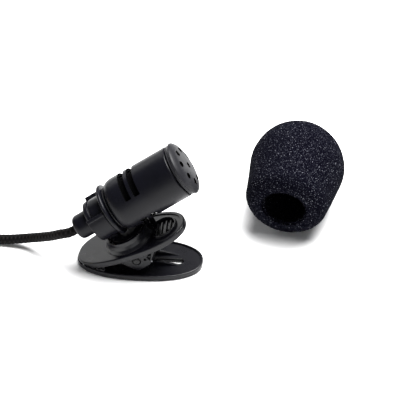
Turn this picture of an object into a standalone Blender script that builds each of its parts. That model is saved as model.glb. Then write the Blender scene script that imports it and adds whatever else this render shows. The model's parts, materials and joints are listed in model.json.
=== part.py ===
"""Clip-on lavalier microphone: a tie clip with a swivelling holder, the microphone snapped into the holder, its
foam windscreen beside it, and its cable wound into a coil with a 3.5 mm plug on the far end.

Frame: metres, +Z up. The clip's lower jaw lies on z = 0. +X runs from the jaw tips to the finger lever, and the
clip is symmetric about y = 0. The microphone's own parts are turned about its axis, and their heights are counted
from the front of the grille backwards.
"""
import math

import bmesh
import bpy
from mathutils import Matrix, Vector

MM = 0.001
GAP = 0.3 * MM
MERGE = 0.00001

# Clip: two jaw plates on one hinge pin
HINGE = Vector((1.7, 0.0, 4.1)) * MM
JAW_SLOPE = math.radians(25.0)
OUTLINE_POWER = 2.3
UPPER_LENGTH = 25.6 * MM
UPPER_WIDTH = 12.9 * MM
UPPER_CENTRE = -0.46 * MM
UPPER_TOP = 3.13 * MM          # height of the plate's top above the pin
UPPER_THICKNESS = 1.5 * MM
NOSE_END = -6.96 * MM          # where the solid nose ends
TRAY_START = 4.34 * MM         # where the lever's shallow tray begins
LOWER_LENGTH = 27.4 * MM
LOWER_WIDTH = 13.2 * MM
LOWER_CENTRE = 2.0 * MM
LOWER_THICKNESS = 1.0 * MM
LOWER_RIM = 1.3 * MM
PIN_RADIUS = 0.5 * MM
PIN_HOLE = 0.78 * MM
LUG_RADIUS = 1.3 * MM
LUG_Y = (2.5 * MM, 3.5 * MM)
EAR_Y = (3.85 * MM, 4.95 * MM)

# Slot through the lower plate under the lever: the middles of its round ends, and half its width
SLOT_X = (6.0 * MM, 10.6 * MM)
SLOT_Y = -0.4 * MM
SLOT_HALF = 0.75 * MM

# Bite: the two noses meet along a toothed plane
BITE_TIP = Vector((-12.2, 0.0, 0.64)) * MM
BITE_SLOPE = math.radians(8.5)
BITE_END_X = -5.25 * MM
TOOTH_PITCH = 0.95 * MM
TOOTH_HEIGHT = 0.36 * MM
BITE_SKIN = 0.05 * MM

# Swivel turret and holder
SWIVEL_X = -0.66 * MM           # along the lever plate from the pin
SWIVEL_REST = math.radians(9.37)
COLLAR_TOP = 2.5 * MM
COLLAR_RADIUS = 4.95 * MM
POCKET_RADIUS = 4.3 * MM
SKIRT_RADIUS = 5.7 * MM
DISC_RADIUS = 3.9 * MM
GRIP_OFFSET = -2.86 * MM       # centre of the grip, from the swivel axis towards the jaw tips
GRIP_HEIGHT = 8.25 * MM        # microphone axis above the plate there
GRIP_TILT = math.radians(7.74)
GRIP_STATION = 22.5 * MM       # that centre, behind the front of the grille
GRIP_WIDTH = 4.1 * MM
GRIP_INNER = 4.4 * MM
GRIP_OUTER = 5.1 * MM
GRIP_HORIZON = math.radians(35)

# Lever: thumb recess with grip ribs, and the fork that holds the cable
RECESS_X = 7.34 * MM
RECESS_RADIUS = 2.75 * MM
RECESS_RING = 3.2 * MM
RIB_PITCH = 1.2 * MM
PRONGS = ((4.24 * MM, 0.8 * MM), (5.04 * MM, 2.2 * MM))
PRONG_TURN = math.radians(-30)

# Microphone, radii and stations behind the front of the grille
BODY_LENGTH = 28.7 * MM
VENTS = ((10.9 * MM, 12.3 * MM), (13.1 * MM, 14.5 * MM))
VENT_HALF_ANGLE = math.radians(61)
HOLE_RADIUS = 0.6 * MM
HOLE_RING = 3.8 * MM
HOLE_COUNT = 8

# Windscreen, lying on its tapered side
FOAM_CENTRE = Vector((34.85, 22.2, 10.53)) * MM
FOAM_RADIUS = 10.5 * MM
FOAM_TAPER = math.radians(8.2)
FOAM_HEADING = math.radians(79.8)
FOAM_FACE = 12.85 * MM
FOAM_EDGE = 3.2 * MM
FOAM_BORE = 4.5 * MM
FOAM_BORE_DEPTH = 15.0 * MM

# Cable
CABLE_RADIUS = 1.05 * MM
CABLE_GAP = 0.4 * MM
STRAIGHT_LEAD = 1.0 * MM       # the cable leaves the microphone straight for this far
COIL_CENTRE = Vector((-60.0, 19.5, 0.0)) * MM
COIL_INNER = 8.2 * MM
COIL_OUTER = 16.6 * MM
COIL_BOTTOM = 0.65 * MM
COIL_TOP = 9.05 * MM
LEAD_ROUTE = (
    (-13.6, -1.65, 8.35),
    (-15.3, -0.95, 7.35),
    (-17.9, 0.55, 5.35),
    (-22.4, 2.9, 2.65),
    (-27.3, 3.7, 1.3),
    (-32.0, 3.8, 1.08),
    (-38.0, 3.8, 1.08),
    (-45.0, 3.85, 1.08),
    (-51.5, 3.9, 1.08),
)
TAIL_ROUTE = (
    (-60.0, 32.3, 10.5),
    (-56.6, 32.1, 10.8),
    (-53.0, 30.6, 11.6),
    (-50.2, 27.9, 12.8),
    (-49.0, 23.7, 13.27),
)
PLUG_START = Vector((-49.0, 23.4, 13.27)) * MM

TURN_STEPS = 28


# ---------------------------------------------------------------- scene and materials

def clear_scene():
    for obj in list(bpy.data.objects):
        bpy.data.objects.remove(obj, do_unlink=True)


def new_collection(name):
    collection = bpy.data.collections.new(name)
    bpy.context.scene.collection.children.link(collection)
    return collection


def make_material(name, colour, roughness, metallic=0.0):
    material = bpy.data.materials.new(name)
    material.use_nodes = True
    shader = material.node_tree.nodes["Principled BSDF"]
    shader.inputs["Base Color"].default_value = (*colour, 1.0)
    shader.inputs["Roughness"].default_value = roughness
    shader.inputs["Metallic"].default_value = metallic
    return material


clear_scene()
PARTS = new_collection("lavalier_microphone")
CUTTERS = new_collection("cutters")

BLACK_PLASTIC = make_material("black_plastic", (0.030, 0.031, 0.034), 0.34)
CLIP_PLASTIC = make_material("clip_plastic", (0.026, 0.027, 0.030), 0.28)
GRILLE_METAL = make_material("grille_metal", (0.060, 0.062, 0.066), 0.42, 0.3)
RUBBER = make_material("rubber", (0.020, 0.020, 0.022), 0.70)
STEEL = make_material("steel", (0.62, 0.62, 0.63), 0.25, 1.0)
BLACK_STEEL = make_material("blackened_steel", (0.030, 0.030, 0.032), 0.35, 0.6)
FOAM = make_material("foam", (0.014, 0.015, 0.022), 0.95)
BRAID = make_material("cable_braid", (0.035, 0.032, 0.032), 0.75)
MESH_CLOTH = make_material("mesh_cloth", (0.09, 0.09, 0.10), 0.80)
CAN_METAL = make_material("capsule_metal", (0.72, 0.71, 0.69), 0.30, 1.0)
BOARD_GREEN = make_material("board_green", (0.03, 0.16, 0.07), 0.50)
GOLD = make_material("gold_plate", (0.83, 0.62, 0.25), 0.22, 1.0)
INSULATOR = make_material("insulator", (0.03, 0.03, 0.03), 0.45)
WIRE_RED = make_material("wire_red", (0.45, 0.03, 0.03), 0.50)
WIRE_WHITE = make_material("wire_white", (0.75, 0.75, 0.72), 0.50)


# ---------------------------------------------------------------- building blocks

def place(obj, parent, material, location=(0, 0, 0), rotation=None):
    obj.parent = parent
    obj.location = location
    if rotation is not None:
        obj.rotation_mode = "QUATERNION"
        obj.rotation_quaternion = rotation
    if material is not None:
        obj.data.materials.append(material)
    return obj


def make_empty(name, parent=None, location=(0, 0, 0), rotation=None):
    empty = bpy.data.objects.new(name, None)
    PARTS.objects.link(empty)
    empty.empty_display_size = 2 * MM
    empty.parent = parent
    empty.location = location
    if rotation is not None:
        empty.rotation_mode = "QUATERNION"
        empty.rotation_quaternion = rotation
    return empty


def turn_about(axis, angle):
    return Matrix.Rotation(angle, 3, axis).to_quaternion()


def turned(name, profile, steps=TURN_STEPS):
    """Solid of revolution about local Z. The profile's (radius, height) points run down the outer side; it closes on
    itself unless both ends are on the axis."""
    mesh = bpy.data.meshes.new(name)
    last = len(profile) - 1
    edges = [(i, i + 1) for i in range(last)]
    if profile[0][0] > 0:
        edges.append((last, 0))
    mesh.from_pydata([(radius, 0.0, height) for radius, height in profile], edges, [])
    obj = bpy.data.objects.new(name, mesh)
    PARTS.objects.link(obj)
    screw = obj.modifiers.new("turn", "SCREW")
    screw.steps = steps
    screw.render_steps = steps
    screw.use_merge_vertices = True
    screw.merge_threshold = MERGE
    return obj


def mesh_from_curve(name, curve, matrix):
    """A closed mesh object from a curve whose end caps are loose."""
    temporary = bpy.data.objects.new(name + "_curve", curve)
    PARTS.objects.link(temporary)
    depsgraph = bpy.context.evaluated_depsgraph_get()
    mesh = bpy.data.meshes.new_from_object(temporary.evaluated_get(depsgraph))
    bpy.data.objects.remove(temporary)
    shape = bmesh.new()
    shape.from_mesh(mesh)
    bmesh.ops.remove_doubles(shape, verts=shape.verts, dist=MERGE)
    bmesh.ops.dissolve_limit(shape, angle_limit=math.radians(1), verts=shape.verts, edges=shape.edges)
    bmesh.ops.recalc_face_normals(shape, faces=shape.faces)
    bmesh.ops.transform(shape, matrix=matrix, verts=shape.verts)
    shape.to_mesh(mesh)
    shape.free()
    mesh.name = name
    obj = bpy.data.objects.new(name, mesh)
    PARTS.objects.link(obj)
    return obj


def plate(name, outlines, low, high, upright=False):
    """A flat outline, with any holes as further outlines, from local z low to high. Upright, the outline is in XZ
    and the thickness runs along Y."""
    curve = bpy.data.curves.new(name, "CURVE")
    curve.dimensions = "2D"
    curve.fill_mode = "BOTH"
    curve.extrude = (high - low) / 2
    for outline in outlines:
        spline = curve.splines.new("POLY")
        spline.points.add(len(outline) - 1)
        for point, (x, y) in zip(spline.points, outline):
            point.co = (x, y, 0.0, 1.0)
        spline.use_cyclic_u = True
    matrix = Matrix.Translation((0, 0, (low + high) / 2))
    if upright:
        matrix = Matrix.Rotation(math.pi / 2, 4, "X") @ Matrix.Translation((0, 0, -(low + high) / 2))
    return mesh_from_curve(name, curve, matrix)


def wire(name, points, radius):
    """A round wire with closed ends along the points."""
    curve = bpy.data.curves.new(name, "CURVE")
    curve.dimensions = "3D"
    curve.bevel_depth = radius
    curve.bevel_resolution = 2
    curve.use_fill_caps = True
    spline = curve.splines.new("POLY")
    spline.points.add(len(points) - 1)
    for point, place_ in zip(spline.points, points):
        point.co = (*place_, 1.0)
    obj = bpy.data.objects.new(name, curve)
    PARTS.objects.link(obj)
    return obj


def box(name, low, high):
    shape = bmesh.new()
    bmesh.ops.create_cube(shape, size=1.0)
    size = [b - a for a, b in zip(low, high)]
    middle = [(a + b) / 2 for a, b in zip(low, high)]
    bmesh.ops.scale(shape, vec=size, verts=shape.verts)
    bmesh.ops.translate(shape, vec=middle, verts=shape.verts)
    mesh = bpy.data.meshes.new(name)
    shape.to_mesh(mesh)
    shape.free()
    obj = bpy.data.objects.new(name, mesh)
    PARTS.objects.link(obj)
    return obj


def rod(name, radius, low, high, sides=16):
    """A cylinder along local Z."""
    shape = bmesh.new()
    bmesh.ops.create_cone(shape, cap_ends=True, segments=sides, radius1=radius, radius2=radius, depth=high - low)
    bmesh.ops.translate(shape, vec=(0, 0, (low + high) / 2), verts=shape.verts)
    mesh = bpy.data.meshes.new(name)
    shape.to_mesh(mesh)
    shape.free()
    obj = bpy.data.objects.new(name, mesh)
    PARTS.objects.link(obj)
    return obj


def combine(target, tool, operation="DIFFERENCE"):
    """Cuts the tool from the target, or joins it, and puts the tool among the cutters."""
    modifier = target.modifiers.new(tool.name, "BOOLEAN")
    modifier.operation = operation
    modifier.solver = "EXACT"
    modifier.object = tool
    PARTS.objects.unlink(tool)
    CUTTERS.objects.link(tool)
    tool.hide_render = True
    tool.display_type = "WIRE"
    return target


def round_edges(obj, width, segments=2):
    bevel = obj.modifiers.new("round", "BEVEL")
    bevel.width = width
    bevel.segments = segments
    bevel.limit_method = "ANGLE"
    bevel.angle_limit = math.radians(50)


def half_width(x, length, width):
    """Half the width of a rounded jaw outline at x from its middle."""
    reach = min(1.0, abs(2 * x / length))
    return width / 2 * (1 - reach ** OUTLINE_POWER) ** (1 / OUTLINE_POWER)


def jaw_outline(length, width, centre, inset=0.0, low=None, high=None, count=17):
    """The jaw's rounded outline, drawn in by inset, and cut off below x = low or above x = high."""
    length -= 2 * inset
    width -= 2 * inset
    start = -length / 2 if low is None else low - centre
    end = length / 2 if high is None else high - centre
    turn_start = math.acos(max(-1.0, min(1.0, -2 * start / length)))
    turn_end = math.acos(max(-1.0, min(1.0, -2 * end / length)))
    turns = [turn_start + (turn_end - turn_start) * i / (count - 1) for i in range(count)]
    stations = [-length / 2 * math.cos(turn) for turn in turns]
    far = [(centre + x, half_width(x, length, width)) for x in stations]
    near = [(x, -y) for x, y in reversed(far) if y > 0.02 * MM]
    return far + near


def arc(radius, start, end, count, centre=(0.0, 0.0)):
    turns = [start + (end - start) * i / (count - 1) for i in range(count)]
    return [(centre[0] + radius * math.cos(t), centre[1] + radius * math.sin(t)) for t in turns]


def smooth_route(points, spacing):
    """Points about spacing apart along a smooth curve through the given points."""
    nodes = [Vector(p) for p in points]
    nodes = [2 * nodes[0] - nodes[1]] + nodes + [2 * nodes[-1] - nodes[-2]]
    fine = []
    for before, start, end, after in zip(nodes, nodes[1:], nodes[2:], nodes[3:]):
        for step in range(40):
            t = step / 40
            fine.append(0.5 * (2 * start + (end - before) * t
                               + (2 * before - 5 * start + 4 * end - after) * t ** 2
                               + (3 * start - before - 3 * end + after) * t ** 3))
    fine.append(nodes[-2])
    total = sum((b - a).length for a, b in zip(fine, fine[1:]))
    count = max(2, round(total / spacing) + 1)
    kept, travelled, wanted = [fine[0]], 0.0, total / (count - 1)
    for a, b in zip(fine, fine[1:]):
        travelled += (b - a).length
        if travelled >= wanted * len(kept) - 1e-9 and len(kept) < count - 1:
            kept.append(b)
    return kept + [fine[-1]]


# ---------------------------------------------------------------- frames

HINGE_AXIS = make_empty("jaw_hinge_axis", None, HINGE, turn_about("Y", -JAW_SLOPE))
SWIVEL_AXIS = make_empty("swivel_axis", HINGE_AXIS, (SWIVEL_X, 0, UPPER_TOP), turn_about("Z", SWIVEL_REST))
MIC_AXIS = make_empty(
    "microphone_axis", SWIVEL_AXIS, (GRIP_OFFSET, 0, GRIP_HEIGHT), turn_about("Y", math.pi / 2 - GRIP_TILT))
FOAM_AXIS = make_empty(
    "windscreen_axis", None, FOAM_CENTRE,
    Vector((
        math.cos(FOAM_TAPER) * math.cos(FOAM_HEADING),
        math.cos(FOAM_TAPER) * math.sin(FOAM_HEADING),
        math.sin(FOAM_TAPER))).to_track_quat("Z", "Y"))
COIL_AXIS = make_empty("coil_axis", None, COIL_CENTRE)
PLUG_AXIS = make_empty("plug_axis", None, PLUG_START, turn_about("X", math.pi / 2))


def station(s):
    """Height on the microphone's axis of a place s behind the front of the grille."""
    return GRIP_STATION - s


def stations(*pairs):
    """A turned profile given as (radius, distance behind the grille's front), in millimetres."""
    return [(radius * MM, station(s * MM)) for radius, s in pairs]


# ---------------------------------------------------------------- lower jaw

def underside(x):
    """Height at x of the lever plate's underside when the clip is shut."""
    depth = UPPER_TOP - UPPER_THICKNESS
    return HINGE.z + (x - HINGE.x) * math.tan(JAW_SLOPE) + depth / math.cos(JAW_SLOPE)


def bite_teeth(name, rise, above):
    """The zigzag face of the bite, raised by rise. It fills the space above the face, or below it."""
    across = TOOTH_PITCH / 2
    count = round((BITE_END_X - BITE_TIP.x) / across)
    slope = math.tan(BITE_SLOPE)
    face = []
    for i in range(count + 1):
        x = BITE_TIP.x + across * i
        tooth = TOOTH_HEIGHT * (i % 2) if i > 3 else 0.0
        face.append((x, BITE_TIP.z + slope * across * i + rise + tooth))
    end = face[-1][0]
    start = face[0][0] - 2 * MM
    if above:
        outline = face + [(end, 9 * MM), (start, 9 * MM), (start, face[0][1])]
    else:
        # behind the bite the space goes up to the plate's underside
        back = -3.0 * MM
        outline = face + [(end, underside(end) - BITE_SKIN), (back, underside(back) - BITE_SKIN), (back, -6 * MM),
                          (start, -6 * MM), (start, face[0][1])]
    return plate(name, [outline], -8 * MM, 8 * MM, upright=True)


def lug_outline():
    """A hinge lug of the lower jaw: round about the pin, with a wide foot in the plate."""
    top = arc(LUG_RADIUS, math.radians(-10), math.radians(190), 11, (HINGE.x, HINGE.z))
    foot = 0.4 * MM
    return top + [(HINGE.x - 2.3 * MM, foot), (HINGE.x + 2.6 * MM, foot)]


def build_lower_jaw():
    jaw = plate("lower_jaw", [jaw_outline(LOWER_LENGTH, LOWER_WIDTH, LOWER_CENTRE)], 0, LOWER_RIM)
    round_edges(jaw, 0.16 * MM)
    tray = plate(
        "lower_tray", [jaw_outline(LOWER_LENGTH, LOWER_WIDTH, LOWER_CENTRE, inset=0.55 * MM)],
        LOWER_THICKNESS, 3 * MM)
    combine(jaw, tray)
    nose = plate(
        "lower_nose",
        [jaw_outline(LOWER_LENGTH, LOWER_WIDTH, LOWER_CENTRE, inset=0.3 * MM, high=BITE_END_X - 0.05 * MM,
                     count=12)],
        0.4 * MM, 3.2 * MM)
    combine(jaw, nose, "UNION")
    combine(jaw, bite_teeth("lower_bite", 0.0, above=True))
    for side, (inner, outer) in (("near", (-LUG_Y[1], -LUG_Y[0])), ("far", LUG_Y)):
        lug = plate(side + "_lug", [lug_outline()], inner, outer, upright=True)
        combine(jaw, lug, "UNION")
    for side in (-1, 1):
        ramp = [(5.2 * MM, 0.5 * MM), (11.4 * MM, 0.5 * MM), (11.4 * MM, 0.85 * MM), (6.4 * MM, 2.0 * MM),
                (5.2 * MM, 2.0 * MM)]
        middle = side * 1.75 * MM
        rib = plate("slot_rib", [ramp], middle - 0.3 * MM, middle + 0.3 * MM, upright=True)
        combine(jaw, rib, "UNION")
    slot = arc(SLOT_HALF, math.radians(90), math.radians(270), 7, (SLOT_X[0], SLOT_Y))
    slot += arc(SLOT_HALF, math.radians(-90), math.radians(90), 7, (SLOT_X[1], SLOT_Y))
    combine(jaw, plate("slot", [slot], -2 * MM, 4 * MM))
    hole = rod("lower_pin_hole", PIN_HOLE, -6 * MM, 6 * MM)
    place(hole, None, None, HINGE, turn_about("X", math.pi / 2))
    combine(jaw, hole)
    place(jaw, None, CLIP_PLASTIC)


# ---------------------------------------------------------------- upper jaw

def ear_outline():
    """An ear of the upper jaw: wide under the plate, with a rounded foot below the pin and another towards the
    lever."""
    front_foot = arc(1.0 * MM, math.radians(218), math.radians(285), 6, (-0.45 * MM, -1.5 * MM))
    rear_foot = arc(0.9 * MM, math.radians(285), math.radians(325), 4, (2.0 * MM, -0.95 * MM))
    roof = UPPER_TOP - 0.5 * MM
    front = [(-3.6 * MM, roof), (-3.4 * MM, 0.7 * MM)]
    rear = [(4.4 * MM, 0.7 * MM), (4.5 * MM, roof)]
    return front + front_foot + rear_foot + rear


def collar_profile():
    """The turret: a conical skirt that carries a round collar with an open pocket, closed on the inside by the
    plate."""
    return [
        (POCKET_RADIUS + 0.15 * MM, COLLAR_TOP),
        (COLLAR_RADIUS - 0.15 * MM, COLLAR_TOP),
        (COLLAR_RADIUS, COLLAR_TOP - 0.2 * MM),
        (COLLAR_RADIUS, 1.5 * MM),
        (SKIRT_RADIUS, 0.15 * MM),
        (SKIRT_RADIUS, -0.5 * MM),
        (POCKET_RADIUS, -0.5 * MM),
        (POCKET_RADIUS, COLLAR_TOP - 0.2 * MM),
    ]


def prong_outline():
    """A barbed prong of the cable fork, seen from the side."""
    return [(-0.45 * MM, -0.4 * MM), (0.45 * MM, -0.4 * MM), (0.38 * MM, 1.75 * MM), (0.75 * MM, 2.0 * MM),
            (0.55 * MM, 2.7 * MM), (0.0, 2.85 * MM), (-0.4 * MM, 2.65 * MM)]


def build_upper_jaw():
    top, bottom = UPPER_TOP, UPPER_TOP - UPPER_THICKNESS
    jaw = plate("upper_jaw", [jaw_outline(UPPER_LENGTH, UPPER_WIDTH, UPPER_CENTRE)], bottom, top)
    round_edges(jaw, 0.25 * MM)
    nose = plate(
        "upper_nose",
        [jaw_outline(UPPER_LENGTH, UPPER_WIDTH, UPPER_CENTRE, inset=0.35 * MM, high=NOSE_END, count=12)],
        -2.5 * MM, top - 0.5 * MM)
    combine(jaw, place(nose, HINGE_AXIS, None), "UNION")
    combine(jaw, bite_teeth("upper_bite", GAP + 0.06 * MM, above=False))
    tray = plate(
        "lever_tray",
        [jaw_outline(UPPER_LENGTH, UPPER_WIDTH, UPPER_CENTRE, inset=0.75 * MM, low=TRAY_START, count=14)],
        top - 0.25 * MM, top + 2 * MM)
    combine(jaw, place(tray, HINGE_AXIS, None))
    collar = turned("collar", collar_profile(), 32)
    combine(jaw, place(collar, HINGE_AXIS, None, (SWIVEL_X, 0, top)), "UNION")
    ring = rod("thumb_ring", RECESS_RING, top - 0.7 * MM, top + 0.3 * MM, 28)
    combine(jaw, place(ring, HINGE_AXIS, None, (RECESS_X, 0, 0)), "UNION")
    dish = rod("thumb_dish", RECESS_RADIUS, top - 0.6 * MM, top + 2 * MM, 28)
    combine(jaw, place(dish, HINGE_AXIS, None, (RECESS_X, 0, 0)))
    for step in (-1, 0, 1):
        rib = box("grip_rib", (-0.22 * MM, -2.3 * MM, top - 0.8 * MM), (0.22 * MM, 2.3 * MM, top - 0.28 * MM))
        combine(jaw, place(rib, HINGE_AXIS, None, (RECESS_X + step * RIB_PITCH, 0, 0)), "UNION")
    for x, y in PRONGS:
        prong = plate("fork_prong", [prong_outline()], -0.4 * MM, 0.4 * MM, upright=True)
        combine(jaw, place(prong, HINGE_AXIS, None, (x, y, top), turn_about("Z", PRONG_TURN)), "UNION")
    for side, (inner, outer) in (("near", (-EAR_Y[1], -EAR_Y[0])), ("far", EAR_Y)):
        ear = plate(side + "_ear", [ear_outline()], inner, outer, upright=True)
        combine(jaw, place(ear, HINGE_AXIS, None), "UNION")
    hole = rod("upper_pin_hole", PIN_HOLE, -6 * MM, 6 * MM)
    combine(jaw, place(hole, HINGE_AXIS, None, (0, 0, 0), turn_about("X", math.pi / 2)))
    rivet_hole = turned("rivet_hole", [
        (0, top + 1 * MM), (1.1 * MM, top + 1 * MM), (1.1 * MM, bottom + 0.6 * MM),
        (1.8 * MM, bottom + 0.6 * MM), (1.8 * MM, bottom - 1 * MM), (0, bottom - 1 * MM)], 16)
    combine(jaw, place(rivet_hole, HINGE_AXIS, None, (SWIVEL_X, 0, 0)))
    place(jaw, HINGE_AXIS, CLIP_PLASTIC)


# ---------------------------------------------------------------- hinge pin and spring

def build_hinge_pin():
    head = 0.85 * MM
    pin = turned("hinge_pin", [
        (0, 5.6 * MM), (head, 5.55 * MM), (head, 5.27 * MM), (PIN_RADIUS, 5.27 * MM),
        (PIN_RADIUS, -5.27 * MM), (head, -5.27 * MM), (head, -5.55 * MM), (0, -5.6 * MM)], 16)
    place(pin, None, BLACK_STEEL, HINGE, turn_about("X", math.pi / 2))


SPRING_RADIUS = 1.15 * MM
SPRING_WIRE = 0.22 * MM
SPRING_TURNS = 6
SPRING_PITCH = 0.6 * MM


def spring_point(turn):
    """A place on the spring's coil after a number of turns, starting below the pin and winding towards +Y."""
    angle = math.radians(-90) - 2 * math.pi * turn
    y = -1.8 * MM + SPRING_PITCH * turn
    return HINGE + Vector((SPRING_RADIUS * math.cos(angle), y, SPRING_RADIUS * math.sin(angle)))


def build_spring():
    """One sprung wire, made as two pieces: the coil with the leg that presses on the lower jaw, and the leg that
    lifts the lever."""
    per_turn = 10
    end_turn = SPRING_TURNS + 0.5 - math.degrees(JAW_SLOPE) / 360
    count = int(end_turn * per_turn)
    lower_leg = [
        HINGE + Vector((3.1 * MM, -1.8 * MM, -2.4 * MM)),
        HINGE + Vector((1.7 * MM, -1.8 * MM, -1.9 * MM)),
    ]
    coil = [spring_point(i * end_turn / count) for i in range(count)]
    place(wire("torsion_spring", lower_leg + coil, SPRING_WIRE), None, STEEL)
    y = -1.8 * MM + SPRING_PITCH * end_turn
    upper_leg = [Vector((x, y, SPRING_RADIUS)) for x in (0.35 * MM, 5.2 * MM)]
    leg = wire("spring_upper_leg", upper_leg, SPRING_WIRE)
    place(leg, HINGE_AXIS, STEEL)


# ---------------------------------------------------------------- swivel and holder

def grip_outline():
    """The C that snaps over the neck, open towards local -X, with a small lip on each end."""
    opening = math.radians(90) - GRIP_HORIZON
    first, last = -math.pi + opening, math.pi - opening
    outer = arc(GRIP_OUTER, first, last, 19)
    inner = arc(GRIP_INNER, last, first, 19)
    far_lip = arc(GRIP_OUTER + 0.35 * MM, last - math.radians(7), last, 3)
    near_lip = arc(GRIP_OUTER + 0.35 * MM, first, first + math.radians(7), 3)
    return near_lip + outer[2:-2] + far_lip + inner


def build_holder():
    holder = turned("holder", [
        (1.1 * MM, 2.6 * MM), (DISC_RADIUS - 1.1 * MM, 2.6 * MM), (DISC_RADIUS, 2.1 * MM), (DISC_RADIUS, 1.0 * MM),
        (1.1 * MM, 1.0 * MM)], 28)
    plug = rod("disc_plug", 1.6 * MM, 2.15 * MM, 2.55 * MM, 12)
    combine(holder, place(plug, SWIVEL_AXIS, None), "UNION")
    stem = box("stem", (-3.5 * MM, -1.6 * MM, 1.7 * MM), (-1.55 * MM, 1.6 * MM, 3.45 * MM))
    combine(holder, place(stem, SWIVEL_AXIS, None), "UNION")
    grip = plate("grip", [grip_outline()], -GRIP_WIDTH / 2, GRIP_WIDTH / 2)
    round_edges(grip, 0.12 * MM, 1)
    combine(holder, place(grip, MIC_AXIS, None), "UNION")
    place(holder, SWIVEL_AXIS, BLACK_PLASTIC)


def build_swivel_washer():
    washer = turned("swivel_washer", [(3.4 * MM, 0.7 * MM), (3.4 * MM, 0.3 * MM), (1.4 * MM, 0.3 * MM),
                                      (1.4 * MM, 0.7 * MM)], 24)
    place(washer, SWIVEL_AXIS, STEEL)


def build_swivel_rivet():
    foot = -UPPER_THICKNESS
    rivet = turned("swivel_rivet", [
        (0, 1.85 * MM), (0.8 * MM, 1.85 * MM), (0.8 * MM, foot + 0.3 * MM), (1.5 * MM, foot + 0.3 * MM),
        (1.5 * MM, foot), (0, foot)], 16)
    place(rivet, HINGE_AXIS, STEEL, (SWIVEL_X, 0, UPPER_TOP))


# ---------------------------------------------------------------- microphone

def build_front_cap():
    cap = turned("front_grille_cap", stations(
        (0, 0.05), (3.2, 0.2), (4.6, 0.45), (5.4, 0.8), (5.9, 1.3), (6.12, 1.9), (6.05, 2.3), (5.0, 2.3),
        (5.0, 3.4), (4.5, 3.4), (4.5, 1.35), (0, 1.2)), 36)
    turns = [(0.0, 0.0)]
    for i in range(HOLE_COUNT):
        angle = 2 * math.pi * i / HOLE_COUNT
        turns.append((HOLE_RING * math.cos(angle), HOLE_RING * math.sin(angle)))
    for x, y in turns:
        hole = rod("grille_hole", HOLE_RADIUS, station(2 * MM), station(-1 * MM), 8)
        combine(cap, place(hole, MIC_AXIS, None, (x, y, 0)))
    place(cap, MIC_AXIS, GRILLE_METAL)


def vent_cutter(name, front, back, middle):
    """A sector of a ring that opens one vent through the barrel's wall, as far to each side of its middle."""
    start, end = middle - VENT_HALF_ANGLE, middle + VENT_HALF_ANGLE
    outline = arc(7 * MM, start, end, 13) + arc(4.5 * MM, end, start, 13)
    return plate(name, [outline], station(back), station(front))


def build_barrel():
    barrel = turned("barrel_housing", stations(
        (5.3, 2.65), (5.75, 2.65), (5.9, 2.85), (5.9, 16.75), (5.8, 17.55), (5.5, 18.25), (5.15, 18.6), (3.75, 18.6),
        (3.75, 17.85), (5.3, 17.85)), 36)
    for front, back in VENTS:
        for side, middle in (("top", math.pi), ("under", 0.0)):
            cutter = vent_cutter(side + "_vent", front, back, middle)
            combine(barrel, place(cutter, MIC_AXIS, None))
    place(barrel, MIC_AXIS, BLACK_PLASTIC)


def build_microphone_turned_parts():
    """Every round part on the microphone's axis: (name, profile, material, steps)."""
    parts = (
        ("acoustic_mesh_disc", [(0, 1.65), (4.2, 1.65), (4.2, 1.9), (0, 1.9)], MESH_CLOTH, 24),
        ("electret_capsule", [
            (3.2, 4.0), (4.85, 4.0), (4.85, 8.4), (0, 8.4), (0, 4.5), (3.2, 4.5)], CAN_METAL, 28),
        ("capsule_seat", [(4.95, 8.75), (4.95, 9.8), (3.3, 9.8), (3.3, 8.75)], RUBBER, 24),
        ("vent_screen", [(5.0, 10.6), (5.0, 14.8), (4.7, 14.8), (4.7, 10.6)], MESH_CLOTH, 28),
        ("retaining_ring", [(4.95, 16.75), (4.95, 17.5), (3.75, 17.5), (3.75, 16.75)], STEEL, 24),
        ("rear_gasket", [(4.9, 18.9), (4.9, 19.15), (3.75, 19.15), (3.75, 18.9)], RUBBER, 24),
        ("rear_bushing", [
            (3.4, 16.65), (3.4, 19.45), (5.6, 19.45), (5.85, 19.7), (5.85, 19.95), (5.55, 20.2), (4.1, 20.2),
            (4.1, 24.45), (3.8, 24.8), (2.2, 24.8), (2.2, 23.05), (1.45, 23.05), (1.45, 19.25), (2.4, 19.25),
            (2.4, 16.65)], BLACK_PLASTIC, 28),
        ("cable_crimp", [(2.05, 16.55), (2.05, 18.9), (1.4, 18.9), (1.4, 16.55)], STEEL, 20),
        ("strain_relief", [
            (1.9, 23.35), (1.9, 25.1), (2.75, 25.1), (2.75, 27.6), (2.55, 28.2), (1.9, 28.7), (1.4, 28.7),
            (1.4, 23.35)], RUBBER, 24),
        ("cable_tail", [(0, 16.25), (0.95, 16.25), (0.95, 28.6), (0, 28.6)], BRAID, 12),
    )
    for name, profile, material, steps in parts:
        place(turned(name, stations(*profile), steps), MIC_AXIS, material)


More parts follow.
